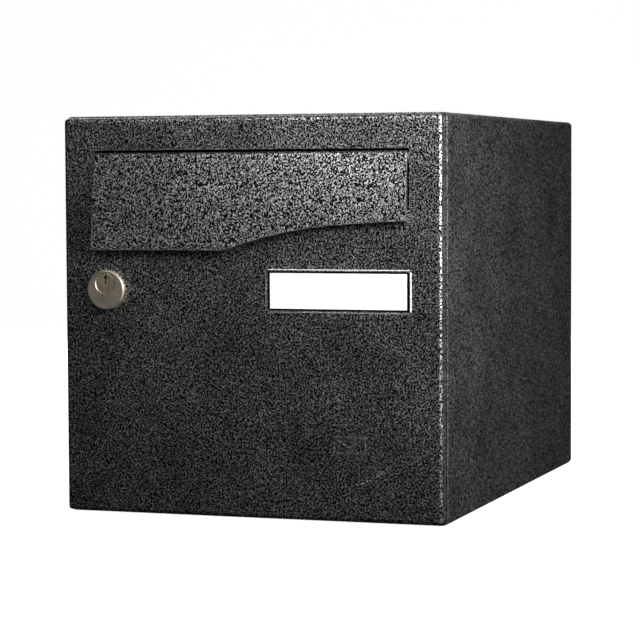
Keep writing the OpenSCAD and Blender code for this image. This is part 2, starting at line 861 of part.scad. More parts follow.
module lock_plug() color(nickel) difference() {
    union() {
        rod_y(lock_x, lock_z, plug_head_y, plug_head_y + plug_head_t - plug_seat_clear,
            plug_head_d / 2);
        rod_y(lock_x, lock_z, plug_head_y, cam_y, plug_d / 2);
        plate(cam_y - over, cam_y + cam_t) translate([lock_x, lock_z])
            square(cam_square, center = true);
    }
    plate(plug_head_y - over, plug_head_y + key_depth) keyway();
    rod_y(lock_x, lock_z, cam_y + cam_t - cam_screw_len, cam_y + cam_t + over, cam_screw_d / 2);
}

module lock_cam() color(bare_steel)
    plate(cam_y, cam_y + cam_t) translate([lock_x, lock_z]) difference() {
        union() {
            circle(cam_w / 2);
            translate([-cam_w / 2, -cam_len + cam_w / 2]) square([cam_w, cam_len - cam_w / 2]);
            translate([0, -cam_len + cam_w / 2]) circle(cam_w / 2);
        }
        square(cam_square, center = true);
    }

module cam_washer() color(bare_steel) {
    y = cam_y + cam_t;
    difference() {
        rod_y(lock_x, lock_z, y, y + cam_washer_t, cam_washer_r);
        rod_y(lock_x, lock_z, y - over, y + cam_washer_t + over, cam_screw_d / 2 + washer_clear);
    }
}

module cam_screw() color(bare_steel) {
    y = cam_y + cam_t;
    head_y = y + cam_washer_t;
    rod_y(lock_x, lock_z, y - cam_screw_len + screw_short, head_y, cam_screw_d / 2);
    difference() {
        rod_y(lock_x, lock_z, head_y, head_y + screw_head_t, cam_screw_d * 0.9);
        for (turn = [0, 90])
            plate(head_y + screw_head_t / 2, head_y + screw_head_t + over)
                translate([lock_x, lock_z]) rotate(turn)
                    square([cam_screw_d * 1.1, drive_w], center = true);
    }
}

// ---- name window ----

module window_rect(w, h, r) {
    round_rect([window_x - w / 2, window_z - h / 2], [window_x + w / 2, window_z + h / 2], r);
}

module name_window() color([0.8, 0.85, 0.9, 0.35]) difference() {
    union() {
        plate(face_y - window_rim_t, face_y) window_rect(window_w, window_h, rim_r);
        plate(face_y, throat_end) window_rect(throat_w, throat_h, throat_r);
    }
    plate(label_y, throat_end + over) window_rect(pocket_w, pocket_h, 0);
}

module name_label() color("white")
    plate(label_y, label_y + label_t) window_rect(label_w, label_h, 0);

// tray that holds the label against the window from behind
module label_carrier() color(black_rubber) {
    plate(label_y + label_t, throat_end)
        window_rect(pocket_w - 2 * carrier_clear, pocket_h - 2 * carrier_clear, 0);
    plate(throat_end, throat_end + carrier_t)
        window_rect(throat_w + 2 * carrier_lap, throat_h + 2 * carrier_lap, throat_r);
    plate(throat_end + carrier_t, throat_end + carrier_t + grip_t) window_rect(grip_w, grip_h, 0);
}

body_shell();
rear_panel();
front_frame();
strike_plate();
strike_rivets();
hinge_bracket_top();
hinge_bracket_bottom();
hinge_rivets();
hinge_pin_top();
hinge_pin_bottom();
hinge_washers();
door_buffers();
door_panel();
hinge_rail();
flap_rod();
rod_caps();
flap_spring_left();
flap_spring_right();
mail_guard();
guard_nuts();
lock_body();
lock_nut();
name_window();
name_label();
label_carrier();
letter_flap();
flap_bushes();
lock_plug();
lock_cam();
cam_washer();
cam_screw();
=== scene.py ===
import math

import bmesh
import bpy
from mathutils import Matrix, Vector


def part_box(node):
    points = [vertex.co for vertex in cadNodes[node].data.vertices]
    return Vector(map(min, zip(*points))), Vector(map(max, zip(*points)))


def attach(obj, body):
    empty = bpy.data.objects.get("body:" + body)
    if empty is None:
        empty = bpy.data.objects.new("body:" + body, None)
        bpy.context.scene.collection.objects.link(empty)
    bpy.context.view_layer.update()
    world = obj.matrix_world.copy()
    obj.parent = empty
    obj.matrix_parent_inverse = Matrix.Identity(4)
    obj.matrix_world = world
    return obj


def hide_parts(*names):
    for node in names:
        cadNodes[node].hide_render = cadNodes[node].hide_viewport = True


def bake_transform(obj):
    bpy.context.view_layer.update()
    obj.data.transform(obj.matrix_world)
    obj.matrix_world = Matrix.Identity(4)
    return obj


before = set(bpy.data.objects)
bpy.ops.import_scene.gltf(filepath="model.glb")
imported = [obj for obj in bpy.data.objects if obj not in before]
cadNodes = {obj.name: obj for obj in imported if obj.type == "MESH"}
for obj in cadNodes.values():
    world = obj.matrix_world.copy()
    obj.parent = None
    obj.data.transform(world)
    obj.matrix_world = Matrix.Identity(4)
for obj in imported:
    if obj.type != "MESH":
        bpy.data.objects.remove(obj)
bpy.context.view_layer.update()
print("frame loaded with", len(cadNodes), "nodes")


# camera: stands a little to the right of the door and looks slightly down
cameraSetup = {
    "place": (0.6178, -1.8451, 0.2550),
    "yaw": 18.97,      # degrees, turned towards the box's left
    "pitch": 3.50,     # degrees below the horizon
    "roll": -0.30,
    "lens": 133.3,
    "sensorWidth": 36,
}


def makeCamera(setup):
    data = bpy.data.cameras.new("boxCamera")
    data.lens = setup["lens"]
    data.sensor_width = setup["sensorWidth"]
    data.clip_end = 50
    camera = bpy.data.objects.new("boxCamera", data)
    turn = Matrix.Rotation(math.radians(setup["yaw"]), 4, "Z")
    nod = Matrix.Rotation(math.radians(90 - setup["pitch"]), 4, "X")
    lean = Matrix.Rotation(math.radians(setup["roll"]), 4, "Z")
    camera.matrix_world = Matrix.Translation(setup["place"]) @ turn @ nod @ lean
    bpy.context.scene.collection.objects.link(camera)
    bpy.context.scene.camera = camera


makeCamera(cameraSetup)
print("camera placed")


# floor that curves up into a backdrop behind the box
stageSetup = {
    "halfWidth": 7.0,
    "front": -6.0,
    "back": 3.2,
    "height": 5.0,
    "bend": 1.6,
    "bendSteps": 16,
    "colour": (0.93, 0.93, 0.93, 1),
    "glow": 1.0,
}


def makeStage(setup):
    line = [(setup["front"], 0.0), (setup["back"] - setup["bend"], 0.0)]
    for i in range(1, setup["bendSteps"] + 1):
        a = math.pi / 2 * i / setup["bendSteps"]
        line.append((setup["back"] - setup["bend"] + setup["bend"] * math.sin(a),
                     setup["bend"] * (1 - math.cos(a))))
    line.append((setup["back"], setup["height"]))
    bm = bmesh.new()
    rows = []
    for x in (-setup["halfWidth"], setup["halfWidth"]):
        rows.append([bm.verts.new((x, y, z)) for y, z in line])
    for i in range(len(line) - 1):
        face = bm.faces.new((rows[0][i], rows[1][i], rows[1][i + 1], rows[0][i + 1]))
        face.smooth = True
    mesh = bpy.data.meshes.new("paleFloor")
    bm.to_mesh(mesh)
    bm.free()
    floor = bpy.data.objects.new("paleFloor", mesh)
    bpy.context.scene.collection.objects.link(floor)
    material = bpy.data.materials.new("palePaper")
    material.use_nodes = True
    shader = material.node_tree.nodes["Principled BSDF"]
    shader.inputs["Base Color"].default_value = setup["colour"]
    shader.inputs["Roughness"].default_value = 0.9
    shader.inputs["Specular IOR Level"].default_value = 0.0
    shader.inputs["Emission Color"].default_value = setup["colour"]
    shader.inputs["Emission Strength"].default_value = setup["glow"]
    mesh.materials.append(material)
    floor.visible_glossy = False      # the dark paint mirrors the lights and not the paper
    floor.visible_diffuse = False


makeStage(stageSetup)


# soft boxes: name, place, what it looks at, size of its square, power in watts
lightSetup = [
    ("keyLight", (0.578, -0.446, 0.412), (0.05, -0.20, 0.20), 0.30, 7.2),
    ("topLight", (0.262, -0.200, 0.783), (0.05, -0.20, 0.20), 0.30, 0.55),
    ("frontLight", (0.050, -0.506, 0.457), (0.05, -0.20, 0.20), 0.20, 0.24),
    ("fillLight", (-0.117, -0.659, 0.582), (0.05, -0.20, 0.20), 0.30, 0.54),
    ("rearLight", (-0.90, 1.30, 0.95), (0.0, 0.0, 0.15), 0.90, 14.0),
    ("rearFill", (-0.35, 1.70, 0.35), (0.0, 0.0, 0.15), 0.50, 7.0),
]
skyGlow = {"overhead": 0.07, "around": 0.02}


def makeLights(setup):
    for name, place, target, size, power in setup:
        data = bpy.data.lights.new(name, "AREA")
        data.size = size
        data.energy = power
        light = bpy.data.objects.new(name, data)
        light.location = place
        light.rotation_euler = (Vector(target) - Vector(place)).to_track_quat("-Z", "Y").to_euler()
        light.visible_camera = False
        bpy.context.scene.collection.objects.link(light)


# soft sky: dark at the horizon and brighter overhead
def makeSky(setup):
    scene = bpy.context.scene
    scene.world = bpy.data.worlds.new("studio")
    scene.world.use_nodes = True
    tree = scene.world.node_tree
    sky = tree.nodes["Background"]
    sky.inputs["Color"].default_value = (1, 1, 1, 1)
    place = tree.nodes.new("ShaderNodeTexCoord")
    axes = tree.nodes.new("ShaderNodeSeparateXYZ")
    rise = tree.nodes.new("ShaderNodeMapRange")
    tree.links.new(place.outputs["Generated"], axes.inputs[0])
    tree.links.new(axes.outputs["Z"], rise.inputs["Value"])
    rise.inputs["To Min"].default_value = setup["around"]
    rise.inputs["To Max"].default_value = setup["overhead"]
    tree.links.new(rise.outputs["Result"], sky.inputs["Strength"])
    scene.view_settings.view_transform = "Standard"


makeLights(lightSetup)
makeSky(skyGlow)
print("stage and lights placed")


# small helpers for node trees
def addNode(tree, kind, **values):
    node = tree.nodes.new(kind)
    for key, value in values.items():
        if hasattr(node, key):
            setattr(node, key, value)
        else:
            node.inputs[key].default_value = value
    return node


def wire(tree, source, target):
    tree.links.new(source, target)


def newGroup(name, inputs, outputs):
    tree = bpy.data.node_groups.new(name, "ShaderNodeTree")
    for label, kind, value in inputs:
        socket = tree.interface.new_socket(name=label, in_out="INPUT", socket_type=kind)
        socket.default_value = value
    for label, kind in outputs:
        tree.interface.new_socket(name=label, in_out="OUTPUT", socket_type=kind)
    return tree, tree.nodes.new("NodeGroupInput"), tree.nodes.new("NodeGroupOutput")


# remaps a value that changes over the surface
def mapValue(tree, value, low, high, toLow, toHigh):
    node = addNode(tree, "ShaderNodeMapRange")
    wire(tree, value, node.inputs["Value"])
    node.inputs["From Min"].default_value = low
    node.inputs["From Max"].default_value = high
    node.inputs["To Min"].default_value = toLow
    node.inputs["To Max"].default_value = toHigh
    return node.outputs["Result"]


# hammered paint: worm-like dimples with bright flakes gathered between them
def makeHammerGroup():
    tree, gin, out = newGroup(
        "hammeredFilm",
        [
            ("Scale", "NodeSocketFloat", 700.0),
            ("Dark", "NodeSocketColor", (0.003, 0.003, 0.0033, 1)),
            ("Fleck", "NodeSocketColor", (0.95, 0.95, 0.94, 1)),
            ("Fleck Edge", "NodeSocketFloat", 0.515),
            ("Fleck Blur", "NodeSocketFloat", 0.025),
            ("Glitter", "NodeSocketFloat", 0.45),
            ("Relief", "NodeSocketFloat", 1.0),
            ("Rough", "NodeSocketFloat", 0.36),
        ],
        [
            ("Color", "NodeSocketColor"),
            ("Metallic", "NodeSocketFloat"),
            ("Roughness", "NodeSocketFloat"),
            ("Normal", "NodeSocketVector"),
        ],
    )
    place = addNode(tree, "ShaderNodeTexCoord")
    worms = addNode(tree, "ShaderNodeTexNoise", Detail=0.0, Distortion=0.5)
    wire(tree, place.outputs["Object"], worms.inputs["Vector"])
    wire(tree, gin.outputs["Scale"], worms.inputs["Scale"])
    clouds = addNode(tree, "ShaderNodeTexNoise", Scale=22.0, Detail=3.0)
    wire(tree, place.outputs["Object"], clouds.inputs["Vector"])
    ramp = addNode(tree, "ShaderNodeMapRange", interpolation_type="SMOOTHSTEP")
    wire(tree, worms.outputs["Fac"], ramp.inputs["Value"])
    wire(tree, gin.outputs["Fleck Edge"], ramp.inputs["From Min"])
    top = addNode(tree, "ShaderNodeMath", operation="ADD")
    wire(tree, gin.outputs["Fleck Blur"], top.inputs[1])
    wire(tree, gin.outputs["Fleck Edge"], top.inputs[0])
    wire(tree, top.outputs[0], ramp.inputs["From Max"])
    tint = addNode(tree, "ShaderNodeMix", data_type="RGBA")
    wire(tree, ramp.outputs["Result"], tint.inputs["Factor"])
    wire(tree, gin.outputs["Dark"], tint.inputs["A"])
    wire(tree, gin.outputs["Fleck"], tint.inputs["B"])
    sparkScale = addNode(tree, "ShaderNodeMath", operation="MULTIPLY")
    wire(tree, gin.outputs["Scale"], sparkScale.inputs[0])
    sparkScale.inputs[1].default_value = 0.8
    sparks = addNode(tree, "ShaderNodeTexNoise", Detail=0.0, Distortion=0.3)
    wire(tree, place.outputs["Object"], sparks.inputs["Vector"])
    wire(tree, sparkScale.outputs[0], sparks.inputs["Scale"])
    bright = addNode(tree, "ShaderNodeMapRange")
    wire(tree, sparks.outputs["Fac"], bright.inputs["Value"])
    bright.inputs["From Min"].default_value = 0.38
    bright.inputs["From Max"].default_value = 0.66
    wire(tree, gin.outputs["Glitter"], bright.inputs["To Min"])
    shade = mapValue(tree, clouds.outputs["Fac"], 0.3, 0.7, 0.85, 1.1)
    both = addNode(tree, "ShaderNodeMath", operation="MULTIPLY")
    wire(tree, bright.outputs["Result"], both.inputs[0])
    wire(tree, shade, both.inputs[1])
    soft = addNode(tree, "ShaderNodeMix", data_type="RGBA", blend_type="MULTIPLY")
    soft.inputs["Factor"].default_value = 1.0
    wire(tree, tint.outputs["Result"], soft.inputs["A"])
    wire(tree, both.outputs[0], soft.inputs["B"])
    wire(tree, soft.outputs["Result"], out.inputs["Color"])
    wire(tree, ramp.outputs["Result"], out.inputs["Metallic"])
    rough = addNode(tree, "ShaderNodeMath", operation="MULTIPLY_ADD")
    wire(tree, clouds.outputs["Fac"], rough.inputs[0])
    rough.inputs[1].default_value = 0.12
    wire(tree, gin.outputs["Rough"], rough.inputs[2])
    wire(tree, rough.outputs[0], out.inputs["Roughness"])
    bump = addNode(tree, "ShaderNodeBump", Strength=1.0, Distance=0.00005)
    wire(tree, worms.outputs["Fac"], bump.inputs["Height"])
    wire(tree, gin.outputs["Relief"], bump.inputs["Strength"])
    wire(tree, bump.outputs["Normal"], out.inputs["Normal"])
    return tree


# grain: cloudy colour and roughness with a fine relief, stretched where a piece was drawn or rolled
def makeGrainGroup():
    tree, gin, out = newGroup(
        "surfaceGrain",
        [
            ("Scale", "NodeSocketFloat", 900.0),
            ("Cloud Scale", "NodeSocketFloat", 60.0),
            ("Stretch", "NodeSocketVector", (1, 1, 1)),
            ("Color A", "NodeSocketColor", (0.5, 0.5, 0.5, 1)),
            ("Color B", "NodeSocketColor", (0.6, 0.6, 0.6, 1)),
            ("Rough Low", "NodeSocketFloat", 0.3),
            ("Rough High", "NodeSocketFloat", 0.45),
            ("Relief", "NodeSocketFloat", 0.3),
        ],
        [
            ("Color", "NodeSocketColor"),
            ("Roughness", "NodeSocketFloat"),
            ("Normal", "NodeSocketVector"),
        ],
    )
    place = addNode(tree, "ShaderNodeTexCoord")
    pull = addNode(tree, "ShaderNodeVectorMath", operation="MULTIPLY")
    wire(tree, place.outputs["Object"], pull.inputs[0])
    wire(tree, gin.outputs["Stretch"], pull.inputs[1])
    fine = addNode(tree, "ShaderNodeTexNoise", Detail=4.0, Roughness=0.6)
    wire(tree, pull.outputs["Vector"], fine.inputs["Vector"])
    wire(tree, gin.outputs["Scale"], fine.inputs["Scale"])
    clouds = addNode(tree, "ShaderNodeTexNoise", Detail=5.0, Roughness=0.55, Distortion=0.4)
    wire(tree, place.outputs["Object"], clouds.inputs["Vector"])
    wire(tree, gin.outputs["Cloud Scale"], clouds.inputs["Scale"])
    patch = mapValue(tree, clouds.outputs["Fac"], 0.35, 0.65, 0.0, 1.0)
    tint = addNode(tree, "ShaderNodeMix", data_type="RGBA")
    wire(tree, patch, tint.inputs["Factor"])
    wire(tree, gin.outputs["Color A"], tint.inputs["A"])
    wire(tree, gin.outputs["Color B"], tint.inputs["B"])
    shade = mapValue(tree, fine.outputs["Fac"], 0.3, 0.7, 0.9, 1.05)
    soft = addNode(tree, "ShaderNodeMix", data_type="RGBA", blend_type="MULTIPLY")
    soft.inputs["Factor"].default_value = 1.0
    wire(tree, tint.outputs["Result"], soft.inputs["A"])
    wire(tree, shade, soft.inputs["B"])
    wire(tree, soft.outputs["Result"], out.inputs["Color"])
    blend = addNode(tree, "ShaderNodeMath", operation="MULTIPLY_ADD", use_clamp=True)
    wire(tree, fine.outputs["Fac"], blend.inputs[0])
    blend.inputs[1].default_value = 0.5
    wire(tree, patch, blend.inputs[2])
    rough = addNode(tree, "ShaderNodeMapRange")
    wire(tree, blend.outputs[0], rough.inputs["Value"])
    wire(tree, gin.outputs["Rough Low"], rough.inputs["To Min"])
    wire(tree, gin.outputs["Rough High"], rough.inputs["To Max"])
    wire(tree, rough.outputs["Result"], out.inputs["Roughness"])
    bump = addNode(tree, "ShaderNodeBump", Distance=0.0001)
    wire(tree, fine.outputs["Fac"], bump.inputs["Height"])
    wire(tree, gin.outputs["Relief"], bump.inputs["Strength"])
    wire(tree, bump.outputs["Normal"], out.inputs["Normal"])
    return tree


# edge wear and painted highlight: 1 on sharp outer edges, broken up by noise, and 0 on flat faces; the
# pale colour it lays on the paint stands in for the light that rounded edges and creases catch
def makeEdgeWearAndHighlightGroup():
    tree, gin, out = newGroup(
        "edgeWearAndHighlight",
        [
            ("Radius", "NodeSocketFloat", 0.0005),
            ("Amount", "NodeSocketFloat", 0.6),
        ],
        [("Mask", "NodeSocketFloat")],
    )
    bevel = addNode(tree, "ShaderNodeBevel", samples=4)
    wire(tree, gin.outputs["Radius"], bevel.inputs["Radius"])
    flat = addNode(tree, "ShaderNodeNewGeometry")
    turn = addNode(tree, "ShaderNodeVectorMath", operation="DOT_PRODUCT")
    wire(tree, bevel.outputs["Normal"], turn.inputs[0])
    wire(tree, flat.outputs["Normal"], turn.inputs[1])
    edge = mapValue(tree, turn.outputs["Value"], 0.995, 0.85, 0.0, 1.0)
    place = addNode(tree, "ShaderNodeTexCoord")
    chips = addNode(tree, "ShaderNodeTexNoise", Scale=420.0, Detail=4.0, Roughness=0.65)
    wire(tree, place.outputs["Object"], chips.inputs["Vector"])
    spots = mapValue(tree, chips.outputs["Fac"], 0.42, 0.62, 0.0, 1.0)
    both = addNode(tree, "ShaderNodeMath", operation="MULTIPLY")
    wire(tree, edge, both.inputs[0])
    wire(tree, spots, both.inputs[1])
    scaled = addNode(tree, "ShaderNodeMath", operation="MULTIPLY", use_clamp=True)
    wire(tree, both.outputs[0], scaled.inputs[0])
    wire(tree, gin.outputs["Amount"], scaled.inputs[1])
    wire(tree, scaled.outputs[0], out.inputs["Mask"])
    return tree


# dust: lies on faces that look up, thicker in patches
def makeDustGroup():
    tree, gin, out = newGroup(
        "restingDust",
        [
            ("Amount", "NodeSocketFloat", 0.3),
            ("Scale", "NodeSocketFloat", 45.0),
        ],
        [("Mask", "NodeSocketFloat")],
    )
    face = addNode(tree, "ShaderNodeNewGeometry")
    axes = addNode(tree, "ShaderNodeSeparateXYZ")
    wire(tree, face.outputs["Normal"], axes.inputs[0])
    up = mapValue(tree, axes.outputs["Z"], 0.2, 0.95, 0.0, 1.0)
    place = addNode(tree, "ShaderNodeTexCoord")
    patch = addNode(tree, "ShaderNodeTexNoise", Detail=6.0, Roughness=0.7)
    wire(tree, place.outputs["Object"], patch.inputs["Vector"])
    wire(tree, gin.outputs["Scale"], patch.inputs["Scale"])
    spread = mapValue(tree, patch.outputs["Fac"], 0.35, 0.75, 0.2, 1.0)
    both = addNode(tree, "ShaderNodeMath", operation="MULTIPLY")
    wire(tree, up, both.inputs[0])
    wire(tree, spread, both.inputs[1])
    scaled = addNode(tree, "ShaderNodeMath", operation="MULTIPLY", use_clamp=True)
    wire(tree, both.outputs[0], scaled.inputs[0])
    wire(tree, gin.outputs["Amount"], scaled.inputs[1])
    wire(tree, scaled.outputs[0], out.inputs["Mask"])
    return tree


hammerGroup = makeHammerGroup()
grainGroup = makeGrainGroup()
edgeWearAndHighlightGroup = makeEdgeWearAndHighlightGroup()
dustGroup = makeDustGroup()


def newMaterial(name, **values):
    material = bpy.data.materials.new(name)
    material.use_nodes = True
    tree = material.node_tree
    shader = tree.nodes["Principled BSDF"]
    for key, value in values.items():
        shader.inputs[key].default_value = value
    return material, tree, shader


def useGroup(tree, group, values):
    node = tree.nodes.new("ShaderNodeGroup")
    node.node_tree = group
    for key, value in values.items():
        node.inputs[key].default_value = value
    return node


# lays a colour over another one where a mask says so
def layColour(tree, under, mask, colour):
    mix = addNode(tree, "ShaderNodeMix", data_type="RGBA")
    wire(tree, mask, mix.inputs["Factor"])
    wire(tree, under, mix.inputs["A"])
    mix.inputs["B"].default_value = colour
    return mix.outputs["Result"]


def layValue(tree, under, mask, value):
    mix = addNode(tree, "ShaderNodeMix", data_type="FLOAT")
    wire(tree, mask, mix.inputs["Factor"])
    wire(tree, under, mix.inputs["A"])
    mix.inputs["B"].default_value = value
    return mix.outputs["Result"]


dustColour = (0.20, 0.19, 0.17, 1)


def makePaint(name, film, wearAndHighlight, dust):
    material, tree, shader = newMaterial(name, **{"Specular IOR Level": 0.12})
    coat = useGroup(tree, hammerGroup, film)
    rubAndHighlight = useGroup(tree, edgeWearAndHighlightGroup, wearAndHighlight)
    rest = useGroup(tree, dustGroup, dust)
    # painted highlight, partly wear: the edge mask lays a pale metal colour on the paint's rounded edges
    # and creases in place of the light they catch
    colour = layColour(tree, coat.outputs["Color"], rubAndHighlight.outputs["Mask"], (0.70, 0.70, 0.70, 1))
    colour = layColour(tree, colour, rest.outputs["Mask"], dustColour)
    rough = layValue(tree, coat.outputs["Roughness"], rest.outputs["Mask"], 0.85)
    metal = layValue(tree, coat.outputs["Metallic"], rubAndHighlight.outputs["Mask"], 1.0)
    metal = layValue(tree, metal, rest.outputs["Mask"], 0.0)
    wire(tree, colour, shader.inputs["Base Color"])
    wire(tree, rough, shader.inputs["Roughness"])
    wire(tree, metal, shader.inputs["Metallic"])
    wire(tree, coat.outputs["Normal"], shader.inputs["Normal"])
    return material


def makeMetal(name, grain, wearAndHighlight, bright, **values):
    material, tree, shader = newMaterial(name, Metallic=1.0, **values)
    skin = useGroup(tree, grainGroup, grain)
    rubAndHighlight = useGroup(tree, edgeWearAndHighlightGroup, wearAndHighlight)
    colour = layColour(tree, skin.outputs["Color"], rubAndHighlight.outputs["Mask"], bright)
    rough = layValue(tree, skin.outputs["Roughness"], rubAndHighlight.outputs["Mask"], 0.18)
    wire(tree, colour, shader.inputs["Base Color"])
    wire(tree, rough, shader.inputs["Roughness"])
    wire(tree, skin.outputs["Normal"], shader.inputs["Normal"])
    return material


def makePlain(name, grain, dust, **values):
    material, tree, shader = newMaterial(name, **values)
    skin = useGroup(tree, grainGroup, grain)
    rest = useGroup(tree, dustGroup, dust)
    colour = layColour(tree, skin.outputs["Color"], rest.outputs["Mask"], dustColour)
    rough = layValue(tree, skin.outputs["Roughness"], rest.outputs["Mask"], 0.85)
    wire(tree, colour, shader.inputs["Base Color"])
    wire(tree, rough, shader.inputs["Roughness"])
    wire(tree, skin.outputs["Normal"], shader.inputs["Normal"])
    return material


def makeClear(name, grain, **values):
    material, tree, shader = newMaterial(name, **values)
    skin = useGroup(tree, grainGroup, grain)
    wire(tree, skin.outputs["Color"], shader.inputs["Base Color"])
    wire(tree, skin.outputs["Roughness"], shader.inputs["Roughness"])
    wire(tree, skin.outputs["Normal"], shader.inputs["Normal"])
    return material


# this paint's wide, strong edge mask paints bright highlight strips along the rounded rims of door and
# body and along the pressed crescents
hammeredPaint = makePaint(
    "hammeredPaint",
    {"Scale": 850.0},
    {"Radius": 0.0012, "Amount": 0.8},
    {"Amount": 0.10},
)
innerPaint = makePaint(
    "innerPaint",
    {"Scale": 640.0, "Fleck": (0.45, 0.45, 0.45, 1), "Fleck Blur": 0.14, "Rough": 0.42},
    {"Radius": 0.0004, "Amount": 0.5},
    {"Amount": 0.22},
)
zincPlate = makeMetal(
    "zincPlate",
    {
        "Scale": 1400.0, "Cloud Scale": 160.0, "Relief": 0.35,
        "Color A": (0.58, 0.58, 0.57, 1), "Color B": (0.68, 0.68, 0.70, 1),
        "Rough Low": 0.26, "Rough High": 0.44,
    },
    {"Radius": 0.0003, "Amount": 0.8},
    (0.80, 0.80, 0.80, 1),
)
springSteel = makeMetal(
    "springSteel",
    {
        "Scale": 2600.0, "Cloud Scale": 300.0, "Relief": 0.4,
        "Color A": (0.36, 0.36, 0.37, 1), "Color B": (0.50, 0.50, 0.51, 1),
        "Rough Low": 0.22, "Rough High": 0.38,
    },
    {"Radius": 0.0002, "Amount": 0.3},
    (0.62, 0.62, 0.62, 1),
)
satinNickel = makeMetal(
    "satinNickel",
    {
        "Scale": 2200.0, "Cloud Scale": 140.0, "Relief": 0.12,
        "Color A": (0.80, 0.71, 0.55, 1), "Color B": (0.86, 0.77, 0.62, 1),
        "Rough Low": 0.44, "Rough High": 0.52,
    },
    {"Radius": 0.0003, "Amount": 0.5},
    (0.92, 0.90, 0.86, 1),
    **{"Coat Weight": 0.5, "Coat Roughness": 0.08},
)
keyBrass = makeMetal(
    "keyBrass",
    {
        "Scale": 3000.0, "Cloud Scale": 500.0, "Relief": 0.2,
        "Color A": (0.60, 0.42, 0.16, 1), "Color B": (0.70, 0.52, 0.22, 1),
        "Rough Low": 0.20, "Rough High": 0.34,
    },
    {"Radius": 0.0002, "Amount": 0.4},
    (0.85, 0.70, 0.40, 1),
)
clearPlastic = makeClear(
    "clearPlastic",
    {
        "Scale": 900.0, "Cloud Scale": 70.0, "Relief": 0.02,
        "Color A": (0.96, 0.97, 0.97, 1), "Color B": (0.98, 0.99, 0.99, 1),
        "Rough Low": 0.015, "Rough High": 0.05,
    },
    **{"Transmission Weight": 1.0, "IOR": 1.49},
)
# painted light: a pale opaque finish for the window's rounded rim, standing in for the light that comes
# out through the clear plastic's edges
paintedRimGlow = makePlain(
    "paintedRimGlow",
    {
        "Scale": 1600.0, "Cloud Scale": 120.0, "Relief": 0.1,
        "Color A": (0.74, 0.75, 0.75, 1), "Color B": (0.84, 0.85, 0.85, 1),
        "Rough Low": 0.16, "Rough High": 0.28,
    },
    {"Amount": 0.0},
)
whiteCard = makePlain(
    "whiteCard",
    {
        "Scale": 2600.0, "Cloud Scale": 90.0, "Relief": 0.25, "Stretch": (0.35, 1, 1),
        "Color A": (0.78, 0.78, 0.77, 1), "Color B": (0.82, 0.82, 0.815, 1),
        "Rough Low": 0.62, "Rough High": 0.80,
    },
    {"Amount": 0.0},
)
blackPlastic = makePlain(
    "blackPlastic",
    {
        "Scale": 3200.0, "Cloud Scale": 80.0, "Relief": 0.7,
        "Color A": (0.016, 0.016, 0.017, 1), "Color B": (0.026, 0.026, 0.027, 1),
        "Rough Low": 0.38, "Rough High": 0.55,
    },
    {"Amount": 0.25},
)
whiteNylon = makePlain(
    "whiteNylon",
    {
        "Scale": 1800.0, "Cloud Scale": 200.0, "Relief": 0.3,
        "Color A": (0.76, 0.75, 0.69, 1), "Color B": (0.84, 0.83, 0.78, 1),
        "Rough Low": 0.34, "Rough High": 0.50,
    },
    {"Amount": 0.15},
)
blackRubber = makePlain(
    "blackRubber",
    {
        "Scale": 2400.0, "Cloud Scale": 260.0, "Relief": 0.8,
        "Color A": (0.012, 0.012, 0.012, 1), "Color B": (0.022, 0.021, 0.020, 1),
        "Rough Low": 0.66, "Rough High": 0.88,
    },
    {"Amount": 0.3},
)
print("materials made")


# CAD nodes that keep their shape take these finishes
nodeFinish = {
    "body_shell": hammeredPaint,
    "door_panel": hammeredPaint,
    "letter_flap": hammeredPaint,
    "rear_panel": innerPaint,
    "front_frame": innerPaint,
    "hinge_rail": innerPaint,
    "mail_guard": innerPaint,
    "strike_plate": zincPlate,
    "hinge_bracket_top": zincPlate,
    "hinge_bracket_bottom": zincPlate,
    "name_label": whiteCard,
    "label_carrier": blackPlastic,
}
for nodeName, material in nodeFinish.items():
    node = cadNodes[nodeName]
    node.data.materials.clear()
    node.data.materials.append(material)


# joins rings of points with faces; a ring of one point closes to a tip
def addRings(bm, rings, loop=False):
    rows = [[bm.verts.new(point) for point in ring] for ring in rings]
    pairs = list(zip(rows, rows[1:]))
    if loop:
        pairs.append((rows[-1], rows[0]))
    for a, b in pairs:
        n = max(len(a), len(b))
        for i in range(n):
            j = (i + 1) % n
            corners = [a[i % len(a)], a[j % len(a)], b[j % len(b)], b[i % len(b)]]
            bm.faces.new(list(dict.fromkeys(corners)))
    if not loop:
        for end in (rows[0], rows[-1]):
            if len(end) > 2:
                bm.faces.new(end)
    return rows


# a corner of a line becomes an arc of the given radius, in 2D or 3D
def roundLine(points, radii, steps=5, loop=False):
    out = []
    n = len(points)
    for i, corner in enumerate(points):
        r = radii[i] if isinstance(radii, (list, tuple)) else radii
        if r == 0 or (not loop and i in (0, n - 1)):
            out.append(corner.copy())
            continue
        before = (points[i - 1] - corner).normalized()
        after = (points[(i + 1) % n] - corner).normalized()
        opening = before.angle(after)
        reach = r / math.tan(opening / 2)
        centre = corner + (before + after).normalized() * (r / math.sin(opening / 2))
        first = corner + before * reach - centre
        last = corner + after * reach - centre
        sweep = first.angle(last)
        for k in range(steps + 1):
            t = k / steps
            a = math.sin((1 - t) * sweep) / math.sin(sweep)
            b = math.sin(t * sweep) / math.sin(sweep)
            out.append(centre + first * a + last * b)
    return out


def flatPoints(pairs):
    return [Vector(pair) for pair in pairs]


# along, and the two directions across it
turnAxes = {
    "x": (Vector((1, 0, 0)), Vector((0, 1, 0)), Vector((0, 0, 1))),
    "y": (Vector((0, 1, 0)), Vector((1, 0, 0)), Vector((0, 0, 1))),
    "z": (Vector((0, 0, 1)), Vector((1, 0, 0)), Vector((0, 1, 0))),
}


